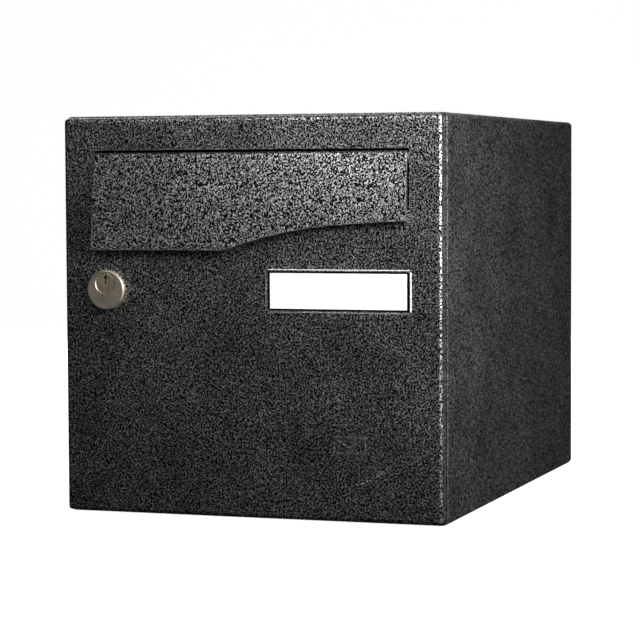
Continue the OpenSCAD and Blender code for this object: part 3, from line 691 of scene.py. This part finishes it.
# ring about a point at a height along its axis; radius is a number or a function of the angle
def ringAt(centre, axis, height, radius, angles):
    along, across, up = turnAxes[axis]
    if not callable(radius) and radius < 1e-9:
        return [centre + along * height]
    ring = []
    for a in angles:
        r = radius(a) if callable(radius) else radius
        ring.append(centre + along * height + across * (r * math.cos(a)) + up * (r * math.sin(a)))
    return ring


def evenAngles(count):
    return [2 * math.pi * i / count for i in range(count)]


# a turned solid from a line of (radius, height) points
def addTurned(bm, centre, axis, profile, count, loop=False):
    angles = evenAngles(count)
    return addRings(bm, [ringAt(centre, axis, h, r, angles) for r, h in profile], loop)


def makePiece(name, bm, body, material, nodes, sharp=32):
    bmesh.ops.remove_doubles(bm, verts=bm.verts, dist=1e-7)
    bmesh.ops.recalc_face_normals(bm, faces=bm.faces)
    mesh = bpy.data.meshes.new(name)
    bm.to_mesh(mesh)
    bm.free()
    mesh.polygons.foreach_set("use_smooth", [True] * len(mesh.polygons))
    mesh.set_sharp_from_angle(angle=math.radians(sharp))
    mesh.materials.append(material)
    piece = bpy.data.objects.new(name, mesh)
    bpy.context.scene.collection.objects.link(piece)
    if nodes:
        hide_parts(*nodes)
    if body:
        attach(piece, body)
    return piece


# pocket in a flat end face: fills the face round the outline, then lip, walls and floor
def addPocket(bm, rim, outline, inward, lip, depth, taper):
    middle = sum(outline, Vector()) / len(outline)

    def inner(shrink, down):
        return [middle + (p - middle) * shrink + inward * down for p in outline]

    mouth = [bm.verts.new(p) for p in inner(1 + lip["flare"], 0)]
    edges = [bm.edges.new((mouth[i], mouth[(i + 1) % len(mouth)])) for i in range(len(mouth))]
    rimEdges = [bm.edges.get((rim[i], rim[(i + 1) % len(rim)])) for i in range(len(rim))]
    bmesh.ops.triangle_fill(bm, use_beauty=True, edges=edges + rimEdges)
    rows = [mouth]
    for shrink, down in ((1, lip["drop"]), (taper, depth)):
        rows.append([bm.verts.new(p) for p in inner(shrink, down)])
    for a, b in zip(rows, rows[1:]):
        for i in range(len(a)):
            j = (i + 1) % len(a)
            bm.faces.new((a[i], a[j], b[j], b[i]))
    floor = [bm.edges.get((rows[-1][i], rows[-1][(i + 1) % len(outline)])) for i in range(len(outline))]
    bmesh.ops.triangle_fill(bm, use_beauty=True, edges=floor)


lockLow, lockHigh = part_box("lock_body")
plugLow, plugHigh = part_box("lock_plug")
lockAxis = Vector(((plugLow.x + plugHigh.x) / 2, 0, (plugLow.z + plugHigh.z) / 2))
rosetteAxis = Vector((lockAxis.x, 0, (lockLow.z + lockHigh.z) / 2))
nutLow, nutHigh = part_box("lock_nut")
rimThick = 0.0012      # how far the window's rim and the rosette's foot lie from the door's face

# barrel outline: round with two upright flats
barrel = {
    "radius": 0.0095,
    "halfFlats": 0.008,
    "flatSteps": 6,
    "roundSteps": 26,
}


def barrelAngles(setup):
    corner = math.acos(setup["halfFlats"] / setup["radius"])
    angles = []
    for side in (0, math.pi):
        for i in range(setup["flatSteps"]):
            angles.append(side - corner + 2 * corner * i / setup["flatSteps"])
        for i in range(setup["roundSteps"]):
            angles.append(side + corner + (math.pi - 2 * corner) * i / setup["roundSteps"])
    return angles


def barrelRadius(setup, radius):
    return lambda a: min(radius, setup["halfFlats"] / max(abs(math.cos(a)), 1e-6))


# rosette with a rounded rim and an eccentric seat for the plug, and the threaded barrel behind it
lockBody = {
    "rimRound": 0.0012,
    "faceDip": 0.00002,       # the face lies a little behind the seat's lip
    "faceEdge": 0.0002,       # flat ring left inside the rim's round
    "rimSteps": 6,
    "seatRadius": 0.00785,
    "seatLip": 0.0003,
    "seatDepth": 0.0026,
    "boreRadius": 0.00605,
    "threadPitch": 0.001,
    "threadDepth": 0.00045,
    "threadSteps": 6,
    "plainNeck": 0.0012,
}


def makeLockBody(setup):
    bm = bmesh.new()
    angles = barrelAngles(barrel)
    front = lockLow.y
    back = lockHigh.y
    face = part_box("name_window")[0].y + rimThick      # the door's outer face
    outer = (lockHigh.x - lockLow.x) / 2
    r = setup["rimRound"]
    rings = []

    def about(axis, height, radius):
        rings.append(ringAt(Vector((axis.x, height, axis.z)), "y", 0, radius, angles))

    about(lockAxis, back, setup["boreRadius"])
    about(lockAxis, front + setup["seatDepth"], setup["boreRadius"])
    about(lockAxis, front + setup["seatDepth"], setup["seatRadius"])
    about(lockAxis, front + setup["seatLip"], setup["seatRadius"])
    about(lockAxis, front, setup["seatRadius"] + setup["seatLip"])
    about(rosetteAxis, front + setup["faceDip"], outer - r - setup["faceEdge"])
    steps = setup["rimSteps"]
    for i in range(steps + 1):
        a = math.pi / 2 * i / steps
        height = front + r - r * math.cos(a) + setup["faceDip"] * (1 - i / steps)
        about(rosetteAxis, height, outer - r + r * math.sin(a))
    about(rosetteAxis, face, outer)
    about(lockAxis, face, barrelRadius(barrel, barrel["radius"] - setup["threadDepth"]))
    start = face + setup["plainNeck"]
    length = back - start
    count = int(length / setup["threadPitch"] * setup["threadSteps"])
    for i in range(count + 1):
        y = start + length * i / count

        def thread(a, y=y):
            phase = (y / setup["threadPitch"] - a / (2 * math.pi)) % 1
            crest = barrel["radius"] - setup["threadDepth"] * abs(2 * phase - 1)
            return barrelRadius(barrel, crest)(a)

        about(lockAxis, y, thread)
    addRings(bm, rings, loop=True)
    return makePiece("lockBody", bm, "door", satinNickel, ["lock_body"])


makeLockBody(lockBody)

# plug: rounded head with a zigzag key slot, a round body and the square that drives the cam
lockPlug = {
    "headRadius": 0.0076,
    "headThick": 0.0019,
    "rimRound": 0.0006,
    "bodyRadius": 0.006,
    "square": 0.007,
    "bodyEdge": 0.0004,
    "steps": 72,
    "rimSteps": 6,
    "keyHalf": 0.8,           # millimetres, like the rest of the slot's outline
    "keyDepth": 0.008,
    "lip": {"flare": 0.05, "drop": 0.0002},
}


# half widths and heights of the slot's jagged sides, from the top down
def keySlot(half):
    right = [(half, 6.6), (half, 5.0), (half + 0.8, 4.2), (half, 3.2),
             (half - 0.6, 2.2), (half, 1.4), (half, -0.6)]
    left = [(-half, -0.6), (-half, 1.0), (-half + 0.6, 2.0), (-half, 3.0),
            (-half - 0.8, 4.0), (-half, 5.0), (-half, 6.6)]
    return [(x / 1000, z / 1000) for x, z in right + left]


def squareRadius(half):
    return lambda a: half / max(abs(math.cos(a)), abs(math.sin(a)))


def makeLockPlug(setup):
    bm = bmesh.new()
    angles = evenAngles(setup["steps"])
    front = plugLow.y
    headBack = front + setup["headThick"]
    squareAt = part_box("lock_cam")[0].y
    r = setup["rimRound"]
    rings = [ringAt(lockAxis, "y", plugHigh.y, squareRadius(setup["square"] / 2), angles)]
    rings.append(ringAt(lockAxis, "y", squareAt, squareRadius(setup["square"] / 2), angles))
    for h, radius in (
        (squareAt, setup["bodyRadius"] - setup["bodyEdge"]),
        (squareAt - setup["bodyEdge"], setup["bodyRadius"]),
        (headBack, setup["bodyRadius"]),
        (headBack, setup["headRadius"]),
    ):
        rings.append(ringAt(lockAxis, "y", h, radius, angles))
    for i in range(setup["rimSteps"] + 1):
        a = math.pi / 2 * i / setup["rimSteps"]
        radius = setup["headRadius"] - r + r * math.cos(a)
        rings.append(ringAt(lockAxis, "y", front + r - r * math.sin(a), radius, angles))
    rows = addRings(bm, rings)
    bm.faces.remove(bm.faces.get(rows[-1]))
    slot = [Vector((lockAxis.x + x, front, lockAxis.z + z)) for x, z in keySlot(setup["keyHalf"])]
    addPocket(bm, rows[-1], slot, Vector((0, 1, 0)), setup["lip"], setup["keyDepth"], 1)
    return makePiece("lockPlug", bm, "lock", satinNickel, ["lock_plug"])


makeLockPlug(lockPlug)

# brass pins that reach into the key slot
keyPins = {
    "radius": 0.00065,
    "from": -0.0004,
    "to": 0.0016,
    "first": 0.0022,
    "pitch": 0.0022,
    "count": 3,
}


def makeKeyPins(setup):
    bm = bmesh.new()
    r = setup["radius"]
    for i in range(setup["count"]):
        y = plugLow.y + setup["first"] + i * setup["pitch"]
        foot = Vector((lockAxis.x, y, lockAxis.z + setup["from"]))
        top = setup["to"] - setup["from"]
        profile = [(0, 0), (r, 0), (r, top - r * 0.6), (r * 0.8, top - r * 0.2), (r * 0.35, top), (0, top)]
        addTurned(bm, foot, "z", profile, 20)
    return makePiece("keyPins", bm, "lock", keyBrass, [])


makeKeyPins(keyPins)
print("lock made")


# radius of a hexagon that has a corner at angle 0
def hexRadius(halfFlats):
    def radius(a):
        turn = (a % (math.pi / 3)) - math.pi / 6
        return halfFlats / math.cos(turn)
    return radius


# hexagon nut along Y with rounded-off corners; hole is a number or a function of the angle
def addNut(bm, centre, y0, y1, halfFlats, hole, angles, holeLip):
    side = hexRadius(halfFlats)
    crown = halfFlats * 1.01
    drop = math.tan(math.radians(30))

    def holeRadius(extra):
        return lambda a: (hole(a) if callable(hole) else hole) + extra

    def sideRing(y, sign):
        along = turnAxes["y"][0]
        ring = []
        for a in angles:
            r = side(a)
            over = max(r - crown, 0) * drop
            ring.append(centre + along * (y + sign * over)
                        + Vector((r * math.cos(a), 0, r * math.sin(a))))
        return ring

    def faceRings(y, sign):
        return [
            ringAt(centre, "y", y + sign * holeLip, holeRadius(0), angles),
            ringAt(centre, "y", y, holeRadius(holeLip), angles),
            ringAt(centre, "y", y, lambda a: min(side(a), crown), angles),
            sideRing(y, sign),
        ]

    addRings(bm, faceRings(y0, 1) + faceRings(y1, -1)[::-1], loop=True)


# angles at every corner of the nut and of the barrel's flats, with even steps between
def mergedAngles(*lists):
    return sorted({round(a % (2 * math.pi), 6) for angles in lists for a in angles})


nutShape = {
    "lockLip": 0.0003,
    "guardLip": 0.0002,
    "guardHole": 0.002,
}


def makeLockNut(setup):
    bm = bmesh.new()
    angles = mergedAngles(barrelAngles(barrel), evenAngles(48))
    hole = barrelRadius(barrel, barrel["radius"])
    half = (nutHigh.z - nutLow.z) / 2
    addNut(bm, lockAxis, nutLow.y, nutHigh.y, half, hole, angles, setup["lockLip"])
    return makePiece("lockNut", bm, "door", zincPlate, ["lock_nut"])


def makeGuardNuts(setup):
    bm = bmesh.new()
    low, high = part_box("guard_nuts")
    half = (high.z - low.z) / 2
    corner = half / math.cos(math.pi / 6)
    for x in (low.x + corner, high.x - corner):
        centre = Vector((x, 0, (low.z + high.z) / 2))
        addNut(bm, centre, low.y, high.y, half, setup["guardHole"], evenAngles(36), setup["guardLip"])
    return makePiece("guardNuts", bm, "door", zincPlate, ["guard_nuts"])


makeLockNut(nutShape)
makeGuardNuts(nutShape)

# cam: flat lever with a square hole, its edges broken all round
camShape = {
    "edge": 0.00035,
    "arcSteps": 16,
}


def makeCam(setup):
    bm = bmesh.new()
    low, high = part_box("lock_cam")
    reach = lockAxis.z - low.z
    half = (high.x - low.x) / 2
    hole = lockPlug["square"] / 2

    def outline(inset):
        r = half - inset
        points = []
        for k in range(setup["arcSteps"] + 1):
            a = math.pi * k / setup["arcSteps"]
            points.append((r * math.cos(a), r * math.sin(a)))
        points.append((-r, -r))
        for k in range(setup["arcSteps"] + 1):
            a = math.pi + math.pi * k / setup["arcSteps"]
            points.append((r * math.cos(a), -(reach - half) + r * math.sin(a)))
        points.append((r, -r))
        return points

    def ring(inset, y):
        return [Vector((lockAxis.x + x, y, lockAxis.z + z)) for x, z in outline(inset)]

    def holeRing(grow, y):
        ring = []
        for x, z in outline(0):
            a = math.atan2(z, x)
            r = squareRadius(hole + grow)(a)
            ring.append(Vector((lockAxis.x + r * math.cos(a), y, lockAxis.z + r * math.sin(a))))
        return ring

    e = setup["edge"]
    rings = [
        holeRing(0, low.y + e), holeRing(e, low.y), ring(e, low.y), ring(e * 0.3, low.y + e * 0.3),
        ring(0, low.y + e), ring(0, high.y - e), ring(e * 0.3, high.y - e * 0.3), ring(e, high.y),
        holeRing(e, high.y), holeRing(0, high.y - e),
    ]
    addRings(bm, rings, loop=True)
    return makePiece("lockCam", bm, "lock", zincPlate, ["lock_cam"])


makeCam(camShape)

# screw with a domed head and a cross recess
camScrew = {
    "shank": 0.002,
    "tip": 0.0006,
    "headEdge": 0.0009,
    "headFoot": 0.0003,
    "recessHalf": 0.0022,
    "recessBar": 0.00045,
    "recessDepth": 0.0013,
    "lip": {"flare": 0.06, "drop": 0.00015},
}


def makeCamScrew(setup):
    bm = bmesh.new()
    low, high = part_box("cam_screw")
    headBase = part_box("cam_washer")[1].y
    head = (high.x - low.x) / 2
    s = setup["shank"]
    e = setup["headEdge"]
    profile = [(0, low.y), (s - setup["tip"], low.y), (s, low.y + setup["tip"]), (s, headBase)]
    foot = setup["headFoot"]
    profile += [(head - foot, headBase), (head, headBase + foot), (head, high.y - e)]
    for i in range(1, 7):
        a = math.pi / 2 * i / 6
        profile.append((head - e + e * math.cos(a), high.y - e + e * math.sin(a)))
    rows = addTurned(bm, lockAxis, "y", profile, 48)
    bm.faces.remove(bm.faces.get(rows[-1]))
    w = setup["recessBar"]
    l = setup["recessHalf"]
    arm = [(w, w), (w, l), (-w, l), (-w, w), (-l, w), (-l, -w),
           (-w, -w), (-w, -l), (w, -l), (w, -w), (l, -w), (l, w)]
    cross = [Vector((lockAxis.x + x, high.y, lockAxis.z + z)) for x, z in arm]
    addPocket(bm, rows[-1], cross, Vector((0, -1, 0)), setup["lip"], setup["recessDepth"], 0.62)
    return makePiece("camScrew", bm, "lock", zincPlate, ["cam_screw"])


makeCamScrew(camScrew)


# flat ring with softened edges, along any axis
def addWasher(bm, centre, axis, h0, h1, outer, inner, edge):
    corners = flatPoints([(inner, h0), (outer, h0), (outer, h1), (inner, h1)])
    line = roundLine(corners, [edge * 0.5, edge, edge, edge * 0.5], 4, loop=True)
    addTurned(bm, centre, axis, [(p.x, p.y) for p in line], 48, loop=True)


camWasher = {
    "hole": 0.00215,
    "edge": 0.0002,
}


def makeCamWasher(setup):
    bm = bmesh.new()
    low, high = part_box("cam_washer")
    outer = (high.x - low.x) / 2
    addWasher(bm, lockAxis, "y", low.y, high.y, outer, setup["hole"], setup["edge"])
    return makePiece("camWasher", bm, "lock", zincPlate, ["cam_washer"])


makeCamWasher(camWasher)

rodLow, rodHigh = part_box("flap_rod")
rodAxis = Vector((0, (rodLow.y + rodHigh.y) / 2, (rodLow.z + rodHigh.z) / 2))
rodRadius = (rodHigh.z - rodLow.z) / 2


rodShape = {
    "chamfer": 0.0005,
    "capThick": 0.001,
    "capEdge": 0.0003,
}


def makeFlapRod(setup):
    bm = bmesh.new()
    c = setup["chamfer"]
    line = flatPoints([(0, rodLow.x), (rodRadius - c, rodLow.x), (rodRadius, rodLow.x + c),
                       (rodRadius, rodHigh.x - c), (rodRadius - c, rodHigh.x), (0, rodHigh.x)])
    addTurned(bm, rodAxis, "x", [(p.x, p.y) for p in line], 40)
    return makePiece("flapRod", bm, "door", zincPlate, ["flap_rod"])


def makeRodCaps(setup):
    bm = bmesh.new()
    low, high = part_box("rod_caps")
    outer = (high.z - low.z) / 2
    thick = setup["capThick"]
    for h0, h1 in ((low.x, low.x + thick), (high.x - thick, high.x)):
        addWasher(bm, rodAxis, "x", h0, h1, outer, rodRadius, setup["capEdge"])
    return makePiece("rodCaps", bm, "door", zincPlate, ["rod_caps"])


# flanged nylon bushes that the flap turns on
flapBush = {
    "flange": 0.001,
    "flangeRadius": 0.0038,
    "radius": 0.003,
    "length": 0.001,          # beyond the flange
    "hole": 0.00205,
    "edge": 0.00025,
}


def makeBushes(setup):
    bm = bmesh.new()
    low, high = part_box("flap_bushes")
    e = setup["edge"]
    for outer, sign in ((low.x, 1), (high.x, -1)):
        step = outer + sign * setup["flange"]
        inner = step + sign * setup["length"]
        corners = flatPoints([(setup["hole"], outer), (setup["flangeRadius"], outer),
                              (setup["flangeRadius"], step), (setup["radius"], step),
                              (setup["radius"], inner), (setup["hole"], inner)])
        line = roundLine(corners, [e, e, e, 0, e, e], 4, loop=True)
        addTurned(bm, rodAxis, "x", [(p.x, p.y) for p in line], 40, loop=True)
    return makePiece("flapBushes", bm, "flap", whiteNylon, ["flap_bushes"])


makeFlapRod(rodShape)
makeRodCaps(rodShape)
makeBushes(flapBush)

# torsion springs: a leg behind the door's skin, the coil round the rod and a leg down the flap's back
springShape = {
    "wire": 0.0009,
    "turns": 5,
    "pitch": 0.001035,
    "coil": 0.0031,           # mean radius
    "doorLegBack": -0.00295,  # from the rod's axis
    "doorLegKnee": 0.0107,
    "bypassTop": 0.0082,
    "bypassLow": -0.00155,
    "flapLegBack": -0.0035,
    "flapLegKnee": -0.0055,
    "flapTilt": 6.5,
    "stepsPerTurn": 28,
    "bend": 0.0009,
    "sides": 12,
}


# tube round a line of points, its rings kept square to the line
def addTube(bm, line, radius, sides):
    rings = []
    across = None
    for i, p in enumerate(line):
        along = (line[min(i + 1, len(line) - 1)] - line[max(i - 1, 0)]).normalized()
        if across is None:
            across = along.cross(Vector((1, 0, 0))).normalized()
        across = (across - along * across.dot(along)).normalized()
        up = along.cross(across)
        soft = radius * (0.8 if i in (0, len(line) - 1) else 1)
        rings.append([p + (across * math.cos(a) + up * math.sin(a)) * soft for a in evenAngles(sides)])
    addRings(bm, rings)


def makeSpring(name, node, setup, side):
    low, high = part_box(node)
    half = setup["wire"] / 2
    doorX = low.x + half if side > 0 else high.x - half
    base = Vector((doorX, rodAxis.y, rodAxis.z))
    bypass = high.y - half - rodAxis.y
    top = high.z - rodAxis.z
    lead = [
        (setup["doorLegBack"], top), (setup["doorLegBack"], setup["doorLegKnee"]),
        (bypass, setup["bypassTop"]), (bypass, setup["bypassLow"]),
        (bypass - 0.0015, -setup["coil"]), (0.0005, -setup["coil"]),
    ]
    line = roundLine([base + Vector((0, y, z)) for y, z in lead], setup["bend"], 5)
    count = setup["turns"] * setup["stepsPerTurn"]
    for i in range(count + 1):
        a = -math.pi / 2 - 2 * math.pi * i / setup["stepsPerTurn"]
        shift = side * setup["pitch"] * i / setup["stepsPerTurn"]
        line.append(base + Vector((shift, setup["coil"] * math.cos(a), setup["coil"] * math.sin(a))))
    tilt = math.radians(setup["flapTilt"])
    endX = side * setup["pitch"] * setup["turns"]
    tail = [line[-1]]
    foot = (low.z - rodAxis.z) / math.cos(tilt)
    for y, z in ((setup["flapLegBack"] + 0.0014, -0.004), (setup["flapLegBack"], setup["flapLegKnee"]),
                 (setup["flapLegBack"], foot + 0.0002)):
        tail.append(base + Vector((endX, y * math.cos(tilt) + z * math.sin(tilt),
                                   z * math.cos(tilt) - y * math.sin(tilt))))
    line += roundLine(tail, [0, 0.0006, 0.0012, 0], 4)[1:]
    bm = bmesh.new()
    addTube(bm, line, half, setup["sides"])
    piece = makePiece(name, bm, None, springSteel, [node], sharp=60)
    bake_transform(piece)
    return piece


makeSpring("springLeft", "flap_spring_left", springShape, 1)
makeSpring("springRight", "flap_spring_right", springShape, -1)
print("flap's rod, bushes and springs made")


# rivets along X: domed head on the right, low head on the left
rivetShape = {
    "shank": 0.0016,
    "head": 0.0028,
    "headRise": 0.001,
    "tailRise": 0.0005,
}


def addRivet(bm, centre, x0, x1, setup):
    profile = [(0, x0)]
    for i in range(1, 6):
        a = math.pi / 2 * i / 5
        profile.append((setup["head"] * math.sin(a), x0 + setup["tailRise"] * (1 - math.cos(a))))
    profile += [(setup["shank"], x0 + setup["tailRise"]), (setup["shank"], x1 - setup["headRise"])]
    for i in range(0, 9):
        a = math.pi / 2 * i / 8
        profile.append((setup["head"] * math.cos(a), x1 - setup["headRise"] * (1 - math.sin(a))))
    addTurned(bm, centre, "x", profile, 32)


def makeRivets(name, node, levels):
    bm = bmesh.new()
    low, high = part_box(node)
    for z in levels:
        addRivet(bm, Vector((0, (low.y + high.y) / 2, z)), low.x, high.x, rivetShape)
    return makePiece(name, bm, "cabinet", zincPlate, [node])


rivetLow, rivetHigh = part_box("strike_rivets")
makeRivets("strikeRivets", "strike_rivets",
           [rivetLow.z + rivetShape["head"], rivetHigh.z - rivetShape["head"]])
footRivet = 0.010       # from the middle of a hinge bracket's foot
footLevels = []
for nodeName in ("hinge_bracket_bottom", "hinge_bracket_top"):
    footLow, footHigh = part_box(nodeName)
    middle = (footLow.z + footHigh.z) / 2
    footLevels += [middle - footRivet, middle + footRivet]
makeRivets("hingeRivets", "hinge_rivets", footLevels)

# hinge pins: a flat head below and a rounded tip above
pinShape = {
    "radius": 0.00175,
    "headRise": 0.001,
    "edge": 0.0003,
    "tip": 0.0008,
}


def makeHingePin(name, node, setup):
    low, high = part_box(node)
    centre = Vector(((low.x + high.x) / 2, (low.y + high.y) / 2, 0))
    head = (high.x - low.x) / 2
    e = setup["edge"]
    neck = low.z + setup["headRise"]
    profile = [(0, low.z), (head - e, low.z), (head - e * 0.3, low.z + e * 0.3), (head, low.z + e)]
    profile += [(head, neck), (setup["radius"], neck)]
    for i in range(7):
        a = math.pi / 2 * i / 6
        profile.append((setup["radius"] - setup["tip"] * (1 - math.cos(a)),
                        high.z - setup["tip"] * (1 - math.sin(a))))
    profile.append((0, high.z))
    bm = bmesh.new()
    addTurned(bm, centre, "z", profile, 36)
    return makePiece(name, bm, "cabinet", zincPlate, [node])


makeHingePin("hingePinTop", "hinge_pin_top", pinShape)
makeHingePin("hingePinBottom", "hinge_pin_bottom", pinShape)


hingeWasher = {
    "thick": 0.0008,
    "edge": 0.0002,
}


def makeHingeWashers(setup):
    bm = bmesh.new()
    low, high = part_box("hinge_washers")
    outer = (high.x - low.x) / 2
    thick = setup["thick"]
    centre = Vector(((low.x + high.x) / 2, (low.y + high.y) / 2, 0))
    for z in (low.z, high.z - thick):
        addWasher(bm, centre, "z", z, z + thick, outer, pinShape["radius"], setup["edge"])
    return makePiece("hingeWashers", bm, "cabinet", whiteNylon, ["hinge_washers"])


makeHingeWashers(hingeWasher)

# domed rubber stops with a foot flange
bufferShape = {
    "radius": 0.004,
    "flange": 0.0015,
    "waist": 0.0035,
    "neck": 0.0006,
    "dome": 0.0022,
}


def makeBuffers(setup):
    bm = bmesh.new()
    low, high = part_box("door_buffers")
    r = setup["radius"]
    w = setup["waist"]
    corners = flatPoints([(0, high.y), (r, high.y), (r, high.y - setup["flange"]),
                          (w, high.y - setup["flange"] - setup["neck"])])
    line = roundLine(corners, [0, 0.0004, 0.0005, 0], 4)
    profile = [(p.x, p.y) for p in line]
    for i in range(9):
        a = math.pi / 2 * i / 8
        profile.append((w * math.cos(a), low.y + setup["dome"] * (1 - math.sin(a))))
    for z in (low.z + r, high.z - r):
        centre = Vector(((low.x + high.x) / 2, 0, z))
        addTurned(bm, centre, "y", profile, 36)
    return makePiece("doorBuffers", bm, "cabinet", blackRubber, ["door_buffers"])


makeBuffers(bufferShape)
print("hinge pins, rivets and buffers made")

# clear window: rounded rim on the door, a throat through it and a pocket behind for the label
windowShape = {
    "rimRound": 0.0006,
    "rimCorner": 0.003,
    "throatCorner": 0.002,
    "lap": 0.0016,
    "frontWall": 0.0011,
    "pocketCorner": 0.0004,
    "pocketGap": 0.0003,
    "cornerSteps": 8,
}


def rectRing(centre, y, halfX, halfZ, corner, steps):
    ring = []
    for k, (sx, sz) in enumerate(((1, 1), (-1, 1), (-1, -1), (1, -1))):
        for i in range(steps + 1):
            a = math.pi / 2 * (k + i / steps)
            ring.append(Vector((centre.x + sx * (halfX - corner) + corner * math.cos(a), y,
                                centre.z + sz * (halfZ - corner) + corner * math.sin(a))))
    return ring


def makeWindow(setup):
    low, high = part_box("name_window")
    labelLow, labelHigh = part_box("name_label")
    centre = (low + high) / 2
    halfX = (high.x - low.x) / 2
    halfZ = (high.z - low.z) / 2
    pocketX = (labelHigh.x - labelLow.x) / 2 + setup["pocketGap"]
    pocketZ = (labelHigh.z - labelLow.z) / 2 + setup["pocketGap"]
    steps = setup["cornerSteps"]
    r = setup["rimRound"]
    seat = low.y + rimThick
    rings = []
    for i in range(6):
        a = math.pi / 2 * i / 5
        inset = r * (1 - math.sin(a))
        rings.append(rectRing(centre, low.y + r * (1 - math.cos(a)), halfX - inset, halfZ - inset,
                              setup["rimCorner"] - inset, steps))
    rings.append(rectRing(centre, seat, halfX, halfZ, setup["rimCorner"], steps))
    for y in (seat, high.y):
        rings.append(rectRing(centre, y, halfX - setup["lap"], halfZ - setup["lap"],
                              setup["throatCorner"], steps))
    for y in (high.y, low.y + setup["frontWall"]):
        rings.append(rectRing(centre, y, pocketX, pocketZ, setup["pocketCorner"], steps))
    bm = bmesh.new()
    addRings(bm, rings)
    piece = makePiece("nameWindow", bm, "door", clearPlastic, ["name_window"])
    piece.data.materials.append(paintedRimGlow)
    for face in piece.data.polygons:      # painted light: the rim's rounded faces take the pale opaque finish in place of light coming out through the plastic
        away = face.center - centre
        if face.center.y < seat and (abs(away.x) > halfX - r or abs(away.z) > halfZ - r):
            face.material_index = 1
    piece.visible_shadow = False      # light reaches the card through the window
    return piece


makeWindow(windowShape)
print("name window made")
